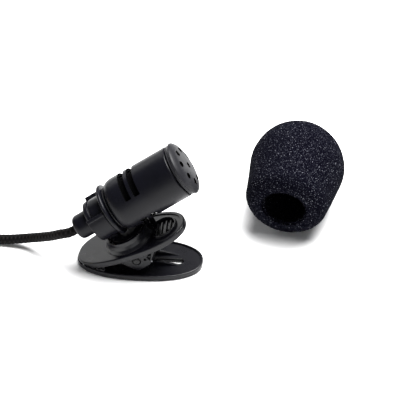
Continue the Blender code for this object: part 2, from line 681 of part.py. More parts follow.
def build_board_and_leads():
    board = rod("filter_board", 4.4 * MM, station(15.85 * MM), station(15.3 * MM), 24)
    notch = box("board_notch", (2.9 * MM, -1.2 * MM, -20 * MM), (6 * MM, 1.2 * MM, 20 * MM))
    combine(board, place(notch, MIC_AXIS, None))
    place(board, MIC_AXIS, BOARD_GREEN)
    chip = box("filter_capacitor", (-2.6 * MM, -0.6 * MM, 0), (-1.6 * MM, 0.6 * MM, 0.6 * MM))
    place(chip, MIC_AXIS, INSULATOR, (0, 0, station(15.0 * MM)))
    for name, y, material in (("signal_lead", 1.0, WIRE_RED), ("ground_lead", -1.0, WIRE_WHITE)):
        route = [(0.4, y, 15.0), (0.6, 1.5 * y, 13.4), (1.0, 1.7 * y, 11.8), (0.8, 1.4 * y, 10.2), (0.4, y, 8.7)]
        points = [Vector((x * MM, across * MM, station(s * MM))) for x, across, s in route]
        place(wire(name, smooth_route(points, 0.8 * MM), 0.24 * MM), MIC_AXIS, material)


# ---------------------------------------------------------------- windscreen

def build_windscreen():
    taper = math.tan(FOAM_TAPER)
    dome = [(FOAM_RADIUS * math.sin(t), FOAM_RADIUS * math.cos(t))
            for t in (i * (math.pi / 2 + FOAM_TAPER) / 11 for i in range(12))]
    dome[0] = (0.0, FOAM_RADIUS)
    end = -FOAM_FACE
    side_radius = dome[-1][0] - (dome[-1][1] - end - FOAM_EDGE) * taper
    lip = arc(FOAM_EDGE, 0.0, -math.pi / 2, 7, (side_radius - FOAM_EDGE, end + FOAM_EDGE))
    bore_end = end + FOAM_BORE_DEPTH
    bore = [(FOAM_BORE + 0.5 * MM, end), (FOAM_BORE, end + 0.5 * MM), (FOAM_BORE, bore_end - 1.5 * MM),
            (FOAM_BORE - 1.5 * MM, bore_end), (0.0, bore_end)]
    foam = turned("windscreen", dome + lip + bore, 32)
    place(foam, FOAM_AXIS, FOAM)


# ---------------------------------------------------------------- cable and plug

def mic_point(s):
    """A place on the microphone's axis in the object's frame, s behind the front of the grille."""
    bpy.context.view_layer.update()
    return MIC_AXIS.matrix_world @ Vector((0, 0, station(s)))


def build_cable():
    start = [mic_point(BODY_LENGTH + CABLE_GAP), mic_point(BODY_LENGTH + STRAIGHT_LEAD)]
    route = start + [Vector(p) * MM for p in LEAD_ROUTE]
    place(wire("cord_lead", smooth_route(route, 2.4 * MM), CABLE_RADIUS), None, BRAID)
    tail = smooth_route([Vector(p) * MM for p in TAIL_ROUTE], 2.4 * MM)
    place(wire("cord_tail", tail, CABLE_RADIUS), None, BRAID)
    edge = 2.2 * MM
    section = arc(edge, math.radians(90), 0, 4, (COIL_OUTER - edge, COIL_TOP - edge))
    section += arc(edge, 0, math.radians(-90), 4, (COIL_OUTER - edge, COIL_BOTTOM + edge))
    section += arc(edge, math.radians(-90), math.radians(-180), 4, (COIL_INNER + edge, COIL_BOTTOM + edge))
    section += arc(edge, math.radians(180), math.radians(90), 4, (COIL_INNER + edge, COIL_TOP - edge))
    place(turned("cord_coil", section, 40), COIL_AXIS, BRAID)


def tie_outline(margin):
    """A rounded rectangle round the coil's section, margin outside it, in XZ."""
    edge = 1.9 * MM + margin
    low = (COIL_INNER - margin, COIL_BOTTOM - margin)
    high = (COIL_OUTER + margin, COIL_TOP + margin)
    corners = (
        ((high[0] - edge, high[1] - edge), 0), ((low[0] + edge, high[1] - edge), 90),
        ((low[0] + edge, low[1] + edge), 180), ((high[0] - edge, low[1] + edge), 270))
    points = []
    for centre, start in corners:
        points += arc(edge, math.radians(start), math.radians(start + 90), 4, centre)
    return points


def build_coil_tie():
    tie = plate("coil_tie", [tie_outline(0.64 * MM), tie_outline(0.3 * MM)], -2 * MM, 2 * MM, upright=True)
    place(tie, COIL_AXIS, RUBBER, (0, 0, 0), turn_about("Z", math.radians(-160)))


def build_plug():
    """A 3.5 mm plug with three contacts; heights run from the cable end to the tip."""
    parts = (
        ("plug_boot", [(2.6, 5.7), (2.3, 0.4), (2.1, 0.0), (1.4, 0.0), (1.4, 5.7)], RUBBER),
        ("plug_handle", [
            (2.5, 20.7), (3.6, 20.7), (3.9, 20.2), (3.9, 7.2), (3.5, 6.2), (3.3, 6.0), (0, 6.0), (0, 19.2),
            (2.5, 19.2)], BLACK_PLASTIC),
        ("plug_collar", [(3.1, 21.9), (3.1, 21.0), (2.2, 21.0), (2.2, 19.5), (1.05, 19.5), (1.05, 21.9)], GOLD),
        ("sleeve_contact", [(1.75, 27.8), (1.75, 22.2), (1.05, 22.2), (1.05, 27.8)], GOLD),
        ("rear_insulator", [(1.7, 28.8), (1.7, 28.1), (1.05, 28.1), (1.05, 28.8)], INSULATOR),
        ("ring_contact", [(1.75, 31.0), (1.75, 29.1), (1.05, 29.1), (1.05, 31.0)], GOLD),
        ("front_insulator", [(1.7, 32.0), (1.7, 31.3), (1.05, 31.3), (1.05, 32.0)], INSULATOR),
        ("tip_contact", [
            (0, 36.0), (0.75, 35.75), (1.7, 34.3), (1.7, 33.9), (1.2, 33.1), (1.6, 32.3), (0.7, 32.3), (0.7, 19.6),
            (0, 19.6)], GOLD),
    )
    for name, profile, material in parts:
        place(turned(name, [(r * MM, z * MM) for r, z in profile], 20), PLUG_AXIS, material)


def shade_parts():
    for obj in PARTS.objects:
        if obj.type == "MESH" and not obj.modifiers:
            obj.data.set_sharp_from_angle(angle=math.radians(35))


build_lower_jaw()
build_upper_jaw()
build_hinge_pin()
build_spring()
build_holder()
build_swivel_washer()
build_swivel_rivet()
build_front_cap()
build_barrel()
build_microphone_turned_parts()
build_board_and_leads()
build_windscreen()
build_cable()
build_coil_tie()
build_plug()
shade_parts()
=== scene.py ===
"""Looks of the clip-on lavalier microphone: fine moulded surfaces, braided cable and open-cell foam round the
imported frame. Metres, +Z up. The clip's lower jaw lies on z = 0, and +X runs from the jaw tips to the finger
lever."""
import json
import math

import bmesh
import bpy
import numpy as np
from mathutils import Matrix, Vector, noise


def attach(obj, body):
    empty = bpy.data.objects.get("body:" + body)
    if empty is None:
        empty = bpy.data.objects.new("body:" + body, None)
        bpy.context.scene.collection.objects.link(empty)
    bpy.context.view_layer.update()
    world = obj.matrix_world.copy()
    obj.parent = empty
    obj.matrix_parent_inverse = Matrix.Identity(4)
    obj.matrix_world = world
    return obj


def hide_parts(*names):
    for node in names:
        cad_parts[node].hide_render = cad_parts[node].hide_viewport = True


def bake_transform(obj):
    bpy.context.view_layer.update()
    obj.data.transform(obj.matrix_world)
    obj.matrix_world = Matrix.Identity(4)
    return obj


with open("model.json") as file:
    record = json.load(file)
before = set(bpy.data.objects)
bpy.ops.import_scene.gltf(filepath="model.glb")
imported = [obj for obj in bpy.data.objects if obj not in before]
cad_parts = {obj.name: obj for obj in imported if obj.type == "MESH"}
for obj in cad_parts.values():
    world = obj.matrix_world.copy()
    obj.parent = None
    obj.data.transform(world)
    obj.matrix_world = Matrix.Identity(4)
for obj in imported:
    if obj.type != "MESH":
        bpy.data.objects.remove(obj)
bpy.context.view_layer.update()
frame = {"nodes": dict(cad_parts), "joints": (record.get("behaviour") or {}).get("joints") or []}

MM = 0.001
NODES = frame["nodes"]
JOINTS = {joint["name"]: joint for joint in frame["joints"]}
SCENE = bpy.context.scene
TURN_X = Matrix.Rotation(math.pi / 2, 4, "X")      # lays a local Z across the clip, along -Y
SHARP = 1e-6                                       # an edge rounding too small to see


# ------------------------ driving dimensions

UPPER_TOP = 3.13 * MM          # height of the lever plate's top above the hinge pin
UPPER_THICKNESS = 1.5 * MM
UPPER_SIZE = (25.6 * MM, 12.9 * MM, -0.46 * MM)      # length, width and middle of the outline
LOWER_SIZE = (27.4 * MM, 13.2 * MM, 2.0 * MM)        # and of the lower jaw's
LOWER_THICKNESS = 1.0 * MM
LOWER_RIM = 1.3 * MM
NOSE_END = -6.96 * MM          # along the lever plate, where the solid nose ends
TRAY_START = 4.34 * MM         # and where the lever's shallow tray begins
SLOT_X = (6.0 * MM, 10.6 * MM)  # the middles of the lower jaw's slot ends
SLOT_Y = -0.4 * MM
SLOT_HALF = 0.75 * MM
OUTLINE_POWER = 2.3
BITE_TIP = Vector((-12.2, 0.0, 0.64)) * MM
BITE_SLOPE = math.radians(8.5)
BITE_END_X = -5.25 * MM
TOOTH_PITCH = 0.95 * MM
TOOTH_HEIGHT = 0.36 * MM
BITE_GAP = 0.36 * MM
BITE_SKIN = 0.05 * MM
PIN_HOLE = 0.78 * MM
EAR_HOLE = 0.98 * MM            # the pin's hole through the ears, with a dark gap round its head
DIMPLE = (1.95 * MM, -0.18 * MM)    # on the ear's outer face, from the pin
DIMPLE_RADIUS = 0.36 * MM
BEAD = (3.2 * MM, 0.46 * MM)
BEAD_RADIUS = 0.34 * MM
LUG_RADIUS = 1.3 * MM
LUG_Y = (2.5 * MM, 3.5 * MM)
EAR_Y = (3.85 * MM, 4.95 * MM)

SWIVEL_X = -0.66 * MM           # along the lever plate from the pin
COLLAR_TOP = 2.5 * MM
COLLAR_RADIUS = 4.95 * MM
POCKET_RADIUS = 4.3 * MM
SKIRT_RADIUS = 5.7 * MM
DISC_RADIUS = 3.9 * MM
RECESS_X = 7.34 * MM
PRONGS = ((4.24 * MM, 0.8 * MM), (5.04 * MM, 2.2 * MM))     # two barbed prongs on the lever plate
PRONG_TURN = math.radians(-30)
GRIP_STATION = 22.5 * MM      # the grip's middle, behind the front of the grille
GRIP_WIDTH = 4.1 * MM
GRIP_INNER = 4.4 * MM
GRIP_OUTER = 5.1 * MM
GRIP_HORIZON = math.radians(35)

VENTS = ((10.9 * MM, 12.3 * MM), (13.1 * MM, 14.5 * MM))
VENT_HALF_ANGLE = math.radians(61)
HOLE_RADIUS = 0.68 * MM
HOLE_RING = 3.8 * MM
HOLE_COUNT = 8

FOAM_CENTRE = Vector((34.85, 22.2, 10.53)) * MM
FOAM_RADIUS = 10.5 * MM
FOAM_TAPER = math.radians(8.2)
FOAM_HEADING = math.radians(79.8)
FOAM_FACE = 12.85 * MM
FOAM_EDGE = 3.2 * MM
FOAM_BORE = 4.5 * MM
FOAM_BORE_DEPTH = 15.0 * MM

CABLE_RADIUS = 1.05 * MM
COIL_CENTRE = Vector((-60.0, 19.5, 0.0)) * MM
COIL_COLUMNS = (9.25 * MM, 15.55 * MM)             # innermost and outermost turn
COIL_FLOOR = 1.4 * MM
COIL_LAYERS = 4
COIL_END = (12.8 * MM, 2.8 * MM)                   # radius of the last stretch and its rise onto the top
COIL_BOX = ((8.2 * MM, 0.65 * MM), (16.6 * MM, 9.05 * MM))     # section of the wound cable inside the tie
TIE_TURN = math.radians(-160)
TIE_HALF = 2 * MM                                  # half the tie's width
LEAD_ROUTE = (
    (-13.6, -1.65, 8.35),
    (-15.3, -0.95, 7.35),
    (-17.9, 0.55, 5.35),
    (-22.4, 2.9, 2.65),
    (-27.3, 3.7, 1.3),
    (-32.0, 3.8, 1.08),
    (-38.0, 3.8, 1.08),
    (-45.0, 3.85, 1.08),
    (-51.5, 3.9, 1.08),
)
TAIL_ROUTE = (
    (-56.6, 32.1, 10.8),
    (-53.0, 30.6, 11.6),
    (-50.2, 27.9, 12.8),
    (-49.0, 23.7, 13.27),
)
PLUG_START = Vector((-49.0, 23.4, 13.27)) * MM
ROOT_LENGTH = 14.0 * MM        # the stretch next to the microphone, built as a piece of its own

BODY_LENGTH = 28.7 * MM
ROOT_INSIDE = 1.2 * MM         # the cable starts this far inside the microphone
STRAIGHT_LEAD = 1.0 * MM       # and leaves it straight for this far


# ------------------------ frames of the moving parts

def frame_from(origin, z_axis, y_axis):
    """A matrix at origin with that local Z, and local Y as near to y_axis as it goes."""
    z_axis = Vector(z_axis).normalized()
    x_axis = Vector(y_axis).cross(z_axis).normalized()
    rotation = Matrix((x_axis, z_axis.cross(x_axis), z_axis)).transposed()
    return Matrix.Translation(origin) @ rotation.to_4x4()


PLATE_NORMAL = Vector(JOINTS["holder_swivel"]["axis"]).normalized()
MIC_DIRECTION = Vector(JOINTS["microphone_roll"]["axis"]).normalized()
ACROSS = PLATE_NORMAL.cross(MIC_DIRECTION).normalized()
WORLD = Matrix.Identity(4)
HINGE = Vector(JOINTS["jaw_hinge"]["pos_m"])
HINGE_FRAME = frame_from(HINGE, PLATE_NORMAL, (0, 1, 0))
SWIVEL_FRAME = frame_from(JOINTS["holder_swivel"]["pos_m"], PLATE_NORMAL, ACROSS)
MIC_FRAME = frame_from(JOINTS["microphone_roll"]["pos_m"], MIC_DIRECTION, ACROSS)
FOAM_DIRECTION = Vector((
    math.cos(FOAM_TAPER) * math.cos(FOAM_HEADING), math.cos(FOAM_TAPER) * math.sin(FOAM_HEADING),
    math.sin(FOAM_TAPER)))
FOAM_FRAME = frame_from(FOAM_CENTRE, FOAM_DIRECTION, (-math.sin(FOAM_HEADING), math.cos(FOAM_HEADING), 0))
PLUG_FRAME = Matrix.Translation(PLUG_START) @ TURN_X
PIN_FRAME = Matrix.Translation(HINGE) @ TURN_X
COIL_FRAME = Matrix.Translation(COIL_CENTRE)


def mm(*points):
    """Points given in millimetres."""
    return [tuple(value * MM for value in point) for point in points]


def station(s):
    """Height on the microphone's axis of a place s behind the front of the grille."""
    return GRIP_STATION - s


def stations(*pairs):
    """A turned profile given as (radius, distance behind the grille's front), in millimetres."""
    return [(radius * MM, station(s * MM)) for radius, s in pairs]


# ------------------------ camera

CAMERA_AZIMUTH = math.radians(4.5)
CAMERA_ELEVATION = math.radians(39.0)
CAMERA_TARGET = Vector((14.94, 1.18, 17.09)) * MM
CAMERA_DISTANCE = 0.60
VIEW_WIDTH = 85.7 * MM
SENSOR = 36.0


def make_camera():
    data = bpy.data.cameras.new("camera")
    data.sensor_width = SENSOR
    data.lens = SENSOR * CAMERA_DISTANCE / VIEW_WIDTH
    data.clip_start, data.clip_end = 0.01, 10.0
    camera = bpy.data.objects.new("camera", data)
    SCENE.collection.objects.link(camera)
    level = math.cos(CAMERA_ELEVATION)
    back = Vector((
        math.sin(CAMERA_AZIMUTH) * level, -math.cos(CAMERA_AZIMUTH) * level, math.sin(CAMERA_ELEVATION)))
    camera.location = CAMERA_TARGET + back * CAMERA_DISTANCE
    camera.rotation_mode = "QUATERNION"
    camera.rotation_quaternion = (-back).to_track_quat("-Z", "Y")
    SCENE.camera = camera


# ------------------------ materials

class Nodes:
    """A material's node tree, with short calls for the nodes used here."""

    def __init__(self, name):
        self.material = bpy.data.materials.new(name)
        self.material.use_nodes = True
        self.tree = self.material.node_tree
        self.shader = self.tree.nodes["Principled BSDF"]
        self.place = self.add("ShaderNodeTexCoord").outputs["Object"]

    def add(self, kind, **values):
        node = self.tree.nodes.new(kind)
        for key, value in values.items():
            setattr(node, key, value)
        return node

    def link(self, source, target):
        self.tree.links.new(source, target)

    def set(self, **values):
        for key, value in values.items():
            self.shader.inputs[key.replace("_", " ")].default_value = value
        return self

    def noise(self, size, detail=3.0, roughness=0.55):
        """A noise whose features are about size across."""
        node = self.add("ShaderNodeTexNoise")
        node.inputs["Scale"].default_value = 1 / size
        node.inputs["Detail"].default_value = detail
        node.inputs["Roughness"].default_value = roughness
        self.link(self.place, node.inputs["Vector"])
        return node.outputs["Fac"]

    def cells(self, size, feature="F1"):
        node = self.add("ShaderNodeTexVoronoi", feature=feature)
        node.inputs["Scale"].default_value = 1 / size
        self.link(self.place, node.inputs["Vector"])
        return node.outputs["Distance"]

    def attribute(self, name):
        return self.add("ShaderNodeAttribute", attribute_name=name).outputs["Fac"]

    def spread(self, source, low, high, start=0.3, end=0.7):
        """Maps start..end of source to low..high."""
        node = self.add("ShaderNodeMapRange")
        self.link(source, node.inputs["Value"])
        for key, value in (("From Min", start), ("From Max", end), ("To Min", low), ("To Max", high)):
            node.inputs[key].default_value = value
        return node.outputs["Result"]

    def colours(self, source, *stops):
        """A colour ramp over source from (place, colour) stops."""
        ramp = self.add("ShaderNodeValToRGB")
        elements = ramp.color_ramp.elements
        while len(elements) < len(stops):
            elements.new(0.5)
        for element, (place, colour) in zip(elements, stops):
            element.position = place
            element.color = (*colour, 1.0)
        self.link(source, ramp.inputs["Fac"])
        self.link(ramp.outputs["Color"], self.shader.inputs["Base Color"])
        return self

    def rough(self, source, low, high):
        self.link(self.spread(source, low, high), self.shader.inputs["Roughness"])
        return self

    def bump(self, source, depth, strength=1.0, before=None):
        node = self.add("ShaderNodeBump")
        node.inputs["Distance"].default_value = depth
        node.inputs["Strength"].default_value = strength
        self.link(source, node.inputs["Height"])
        if before is not None:
            self.link(before, node.inputs["Normal"])
        self.link(node.outputs["Normal"], self.shader.inputs["Normal"])
        return node.outputs["Normal"]


def scaled(colour, factor):
    return tuple(min(1.0, c * factor) for c in colour)


def moulded(name, colour, low, high, grain, depth, shine=0.5, coat=0.0):
    """Moulded plastic or paint: uneven colour, roughness between low and high, and a fine surface grain."""
    nodes = Nodes(name)
    broad = nodes.noise(6 * MM, 4.0)
    nodes.colours(broad, (0.30, scaled(colour, 0.80)), (0.55, colour), (0.75, scaled(colour, 1.30)))
    nodes.rough(nodes.noise(2.5 * MM, 3.0), low, high)
    ripple = nodes.bump(nodes.noise(5 * MM, 1.0), 0.004 * MM, 0.3)
    nodes.bump(nodes.noise(grain, 3.0), depth, 0.8, ripple)
    return nodes.set(Specular_IOR_Level=shine, Coat_Weight=coat, Coat_Roughness=0.12).material


def metal(name, colour, low, high, lines=0.3 * MM):
    """Drawn or plated metal with fine scratches."""
    nodes = Nodes(name)
    nodes.colours(nodes.noise(1.5 * MM, 4.0), (0.30, scaled(colour, 0.86)), (0.70, scaled(colour, 1.06)))
    nodes.rough(nodes.noise(lines, 5.0), low, high)
    nodes.bump(nodes.noise(0.12 * MM, 4.0), 0.004 * MM, 0.6)
    return nodes.set(Metallic=1.0).material


def foam_material(name, shade):
    """Open-cell foam: near-black with pale specks where cell walls catch the light, darkened by shade."""
    nodes = Nodes(name)
    grain = nodes.noise(0.27 * MM, 2.0, 0.7)
    stops = (
        (0.40, (0.0008, 0.0008, 0.0024)), (0.56, (0.0036, 0.0037, 0.0072)), (0.66, (0.030, 0.031, 0.040)),
        (0.76, (0.30, 0.305, 0.34)))
    nodes.colours(grain, *((place, scaled(colour, shade)) for place, colour in stops))
    nodes.rough(nodes.noise(0.5 * MM), 0.90, 1.0)
    coarse = nodes.bump(nodes.cells(0.46 * MM), 0.05 * MM, 0.7)
    nodes.bump(grain, 0.04 * MM, 0.8, coarse)
    return nodes.set(Sheen_Weight=0.0, Specular_IOR_Level=0.01).material


def braid_material():
    nodes = Nodes("cable_braid_yarn")
    # the colour follows the braid's relief: painted shade in the hollows between strands and painted
    # highlights on the crests
    strand = nodes.attribute("strand")
    nodes.colours(strand, (0.0, (0.0003, 0.0003, 0.0003)), (0.55, (0.0012, 0.0010, 0.0011)),
                  (0.86, (0.0060, 0.0052, 0.0054)), (1.0, (0.040, 0.034, 0.035)))
    nodes.rough(nodes.noise(0.2 * MM), 0.48, 0.72)
    nodes.bump(nodes.noise(0.09 * MM, 4.0), 0.035 * MM, 0.9)
    return nodes.set(Sheen_Weight=0.01, Sheen_Roughness=0.4, Specular_IOR_Level=0.07).material


def cloth_material():
    nodes = Nodes("acoustic_mesh")
    weave = nodes.cells(0.16 * MM)
    nodes.colours(weave, (0.1, (0.0035, 0.0032, 0.0034)), (0.6, (0.0004, 0.0004, 0.0005)))
    nodes.rough(nodes.noise(0.3 * MM), 0.8, 1.0)
    nodes.bump(weave, 0.03 * MM, 0.8)
    return nodes.set(Specular_IOR_Level=0.03).material


def board_material():
    nodes = Nodes("circuit_board")
    nodes.colours(nodes.noise(0.9 * MM, 2.0), (0.44, (0.015, 0.10, 0.04)), (0.52, (0.03, 0.19, 0.08)),
                  (0.60, (0.05, 0.26, 0.11)))
    nodes.rough(nodes.noise(0.4 * MM), 0.3, 0.5)
    nodes.bump(nodes.noise(0.9 * MM, 2.0), 0.03 * MM, 0.6)
    return nodes.material


CLIP = moulded("gloss_clip_plastic", (0.0030, 0.0030, 0.0050), 0.27, 0.31, 0.30 * MM, 0.0002 * MM, 0.30)
BODY = moulded("satin_body_plastic", (0.0027, 0.0027, 0.0048), 0.34, 0.39, 0.20 * MM, 0.0005 * MM, 0.17)
# a darker, duller copy of the clip plastic for the prong tops: the darker colour is painted shade
PRONG_TOP_PAINTED_SHADE = moulded("dull_fork_plastic_painted_shade", (0.0020, 0.0020, 0.0030), 0.40, 0.50, 0.20 * MM, 0.0005 * MM, 0.06)
CAP = moulded("satin_grille_paint", (0.0120, 0.0120, 0.0145), 0.42, 0.50, 0.14 * MM, 0.0020 * MM, 0.19)
# near-black for the walls inside the grille's holes and the barrel's vents: painted shade
PAINTED_SHADE_INSIDE = moulded("shaded_bore", (0.0006, 0.0006, 0.0007), 0.85, 0.95, 0.12 * MM, 0.0030 * MM, 0.03)
RUBBER = moulded("matte_rubber", (0.0075, 0.0075, 0.0090), 0.50, 0.68, 0.10 * MM, 0.0060 * MM, 0.25)
DARK = moulded("black_insulator", (0.010, 0.010, 0.011), 0.35, 0.50, 0.12 * MM, 0.0030 * MM)
STEEL = metal("bright_steel", (0.62, 0.62, 0.64), 0.16, 0.34)
BLACKENED = moulded("blackened_steel_oxide", (0.006, 0.006, 0.007), 0.28, 0.42, 0.10 * MM, 0.0015 * MM, 0.3)
GOLD = metal("gold_plating", (0.83, 0.60, 0.24), 0.12, 0.26)
CAN = metal("drawn_aluminium", (0.72, 0.71, 0.69), 0.24, 0.42)
RED = moulded("red_insulation", (0.42, 0.025, 0.025), 0.35, 0.50, 0.10 * MM, 0.0040 * MM)
WHITE = moulded("white_insulation", (0.70, 0.70, 0.66), 0.35, 0.50, 0.10 * MM, 0.0040 * MM)
FOAM = foam_material("open_cell_foam", 1.0)
# the foam at a quarter of its brightness for the inside of the windscreen's bore: painted shade
FOAM_PAINTED_SHADE = foam_material("foam_bore", 0.25)
BRAID = braid_material()
CLOTH = cloth_material()
BOARD = board_material()


# ------------------------ building blocks

def add_mesh(name, shape, matrix=WORLD):
    """A new object in the row frame from a bmesh."""
    bmesh.ops.transform(shape, matrix=matrix, verts=shape.verts)
    mesh = bpy.data.meshes.new(name)
    shape.to_mesh(mesh)
    shape.free()
    piece = bpy.data.objects.new(name, mesh)
    SCENE.collection.objects.link(piece)
    return piece


def rounded(points, radius, count=4, closed=True):
    """The outline with each corner replaced by a small arc, cut shorter where an edge is short."""
    points = [Vector(p) for p in points]
    result = []
    total = len(points)
    for i, corner in enumerate(points):
        if not closed and i in (0, total - 1):
            result.append(corner)
            continue
        before, after = points[i - 1] - corner, points[(i + 1) % total] - corner
        bend = math.pi - before.angle(after)
        if bend < math.radians(12):
            result.append(corner)
            continue
        cut = min(radius * math.tan(bend / 2), 0.42 * before.length, 0.42 * after.length)
        start, end = corner + before.normalized() * cut, corner + after.normalized() * cut
        for step in range(count + 1):
            t = step / count
            result.append(start * (1 - t) ** 2 + corner * (2 * t * (1 - t)) + end * t ** 2)
    return result


def lathe(name, profile, matrix, steps=96, edge=0.12 * MM):
    """A turned solid about local Z. Its (radius, height) profile is closed, unless it starts on the axis."""
    on_axis = profile[0][0] == 0
    profile = rounded(profile, edge, 3, closed=not on_axis)
    shape = bmesh.new()
    around = [(math.cos(2 * math.pi * i / steps), math.sin(2 * math.pi * i / steps)) for i in range(steps)]
    rings = []
    for radius, height in profile:
        if radius < 1e-9:
            rings.append([shape.verts.new((0, 0, height))] * steps)
        else:
            rings.append([shape.verts.new((radius * x, radius * y, height)) for x, y in around])
    pairs = list(zip(rings, rings[1:]))
    if not on_axis:
        pairs.append((rings[-1], rings[0]))
    for one, other in pairs:
        for i in range(steps):
            j = (i + 1) % steps
            corners = []
            for corner in (one[i], one[j], other[j], other[i]):
                if corner not in corners:
                    corners.append(corner)
            if len(corners) > 2:
                shape.faces.new(corners)
    bmesh.ops.recalc_face_normals(shape, faces=shape.faces)
    return add_mesh(name, shape, matrix)


def plate(name, outline, low, high, matrix=WORLD, upright=False, edge=0.0, segments=3):
    """A flat outline from local z low to high, its edges rounded. Upright, the outline is in XZ and the
    thickness runs along Y."""
    shape = bmesh.new()
    bottom = [shape.verts.new((x, y, low)) for x, y in outline]
    face = shape.faces.new(bottom)
    raised = bmesh.ops.extrude_face_region(shape, geom=[face])
    top = [item for item in raised["geom"] if isinstance(item, bmesh.types.BMVert)]
    bmesh.ops.translate(shape, vec=(0, 0, high - low), verts=top)
    bmesh.ops.recalc_face_normals(shape, faces=shape.faces)
    if edge > 0:
        rim = [e for e in shape.edges if e.calc_face_angle(0) > math.radians(40)]
        bmesh.ops.bevel(shape, geom=rim, offset=edge, segments=segments, affect="EDGES", profile=0.5,
                        clamp_overlap=True)
    if upright:
        bmesh.ops.transform(shape, matrix=TURN_X, verts=shape.verts)
        bmesh.ops.scale(shape, vec=(1, -1, 1), verts=shape.verts)
        bmesh.ops.recalc_face_normals(shape, faces=shape.faces)
    return add_mesh(name, shape, matrix)


def block(name, low, high, matrix=WORLD, edge=0.0):
    outline = [(low[0], low[1]), (high[0], low[1]), (high[0], high[1]), (low[0], high[1])]
    return plate(name, outline, low[2], high[2], matrix, edge=edge)


def rod(name, radius, low, high, matrix, steps=48, edge=0.0):
    return lathe(name, [(0, high), (radius, high), (radius, low), (0, low)], matrix, steps, max(edge, SHARP))


def combine(target, tools, operation="DIFFERENCE"):
    """Cuts the tools from the target, or joins them, and removes the tools."""
    for tool in tools:
        modifier = target.modifiers.new("combine", "BOOLEAN")
        modifier.operation = operation
        modifier.solver = "EXACT"
        modifier.object = tool
        evaluated = target.evaluated_get(bpy.context.evaluated_depsgraph_get())
        mesh = bpy.data.meshes.new_from_object(evaluated)
        target.modifiers.clear()
        target.data = mesh
        bpy.data.objects.remove(tool)
    return target


def smooth(piece, angle=32.0):
    """Smooth shading that keeps creases, with flat faces lit evenly."""
    piece.data.shade_smooth()
    piece.data.set_sharp_from_angle(angle=math.radians(angle))
    weighted = piece.modifiers.new("even_faces", "WEIGHTED_NORMAL")
    weighted.keep_sharp = True
    return piece


def finish_piece(piece, material, body, slot, *nodes, angle=32.0):
    piece.data.materials.clear()
    piece.data.materials.append(material)
    smooth(piece, angle)
    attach(piece, body)
    if nodes:
        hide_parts(*nodes)
    return piece


def paint_faces(piece, material, matrix, chosen):
    """Gives another material to the faces whose centre, in that local frame, is chosen."""
    piece.data.materials.append(material)
    to_local = matrix.inverted()
    for face in piece.data.polygons:
        if chosen(to_local @ face.center):
            face.material_index = 1


def arc(radius, start, end, count, centre=(0.0, 0.0)):
    turns = [start + (end - start) * i / (count - 1) for i in range(count)]
    return [(centre[0] + radius * math.cos(t), centre[1] + radius * math.sin(t)) for t in turns]


def jaw_outline(size, inset=0.0, low=None, high=None, count=49):
    """The jaw's rounded outline, drawn in by inset, and cut off below x = low or above x = high."""
    length, width, centre = size[0] - 2 * inset, size[1] - 2 * inset, size[2]
    start = -length / 2 if low is None else low - centre
    end = length / 2 if high is None else high - centre
    turn_start = math.acos(max(-1.0, min(1.0, -2 * start / length)))
    turn_end = math.acos(max(-1.0, min(1.0, -2 * end / length)))
    far = []
    for i in range(count):
        x = -length / 2 * math.cos(turn_start + (turn_end - turn_start) * i / (count - 1))
        reach = min(1.0, abs(2 * x / length))
        far.append((centre + x, width / 2 * (1 - reach ** OUTLINE_POWER) ** (1 / OUTLINE_POWER)))
    return far + [(x, -y) for x, y in reversed(far) if y > 0.02 * MM]


# ------------------------ cables

BRAID_PITCH = 4.0 * MM         # along the cable, for one full turn of a strand
BRAID_STRANDS = 4              # strands that wind each way
BRAID_DEPTH = 0.11


def distances(line):
    """How far along the line each of its points is."""
    return np.concatenate([[0], np.cumsum(np.linalg.norm(np.diff(line, axis=0), axis=1))])


def smooth_route(points, spacing):
    """Points spacing apart along a smooth curve through the given points."""
    nodes = [Vector(p) for p in points]
    nodes = [2 * nodes[0] - nodes[1]] + nodes + [2 * nodes[-1] - nodes[-2]]
    fine = []
    for before, start, end, after in zip(nodes, nodes[1:], nodes[2:], nodes[3:]):
        for step in range(24):
            t = step / 24
            fine.append(0.5 * (2 * start + (end - before) * t
                               + (2 * before - 5 * start + 4 * end - after) * t ** 2
                               + (3 * start - before - 3 * end + after) * t ** 3))
    fine.append(nodes[-2])
    line = np.array(fine)
    along = distances(line)
    at = np.linspace(0, along[-1], max(2, round(along[-1] / spacing) + 1))
    return np.stack([np.interp(at, along, line[:, k]) for k in range(3)], axis=1)


def line_length(line):
    return float(distances(line)[-1])


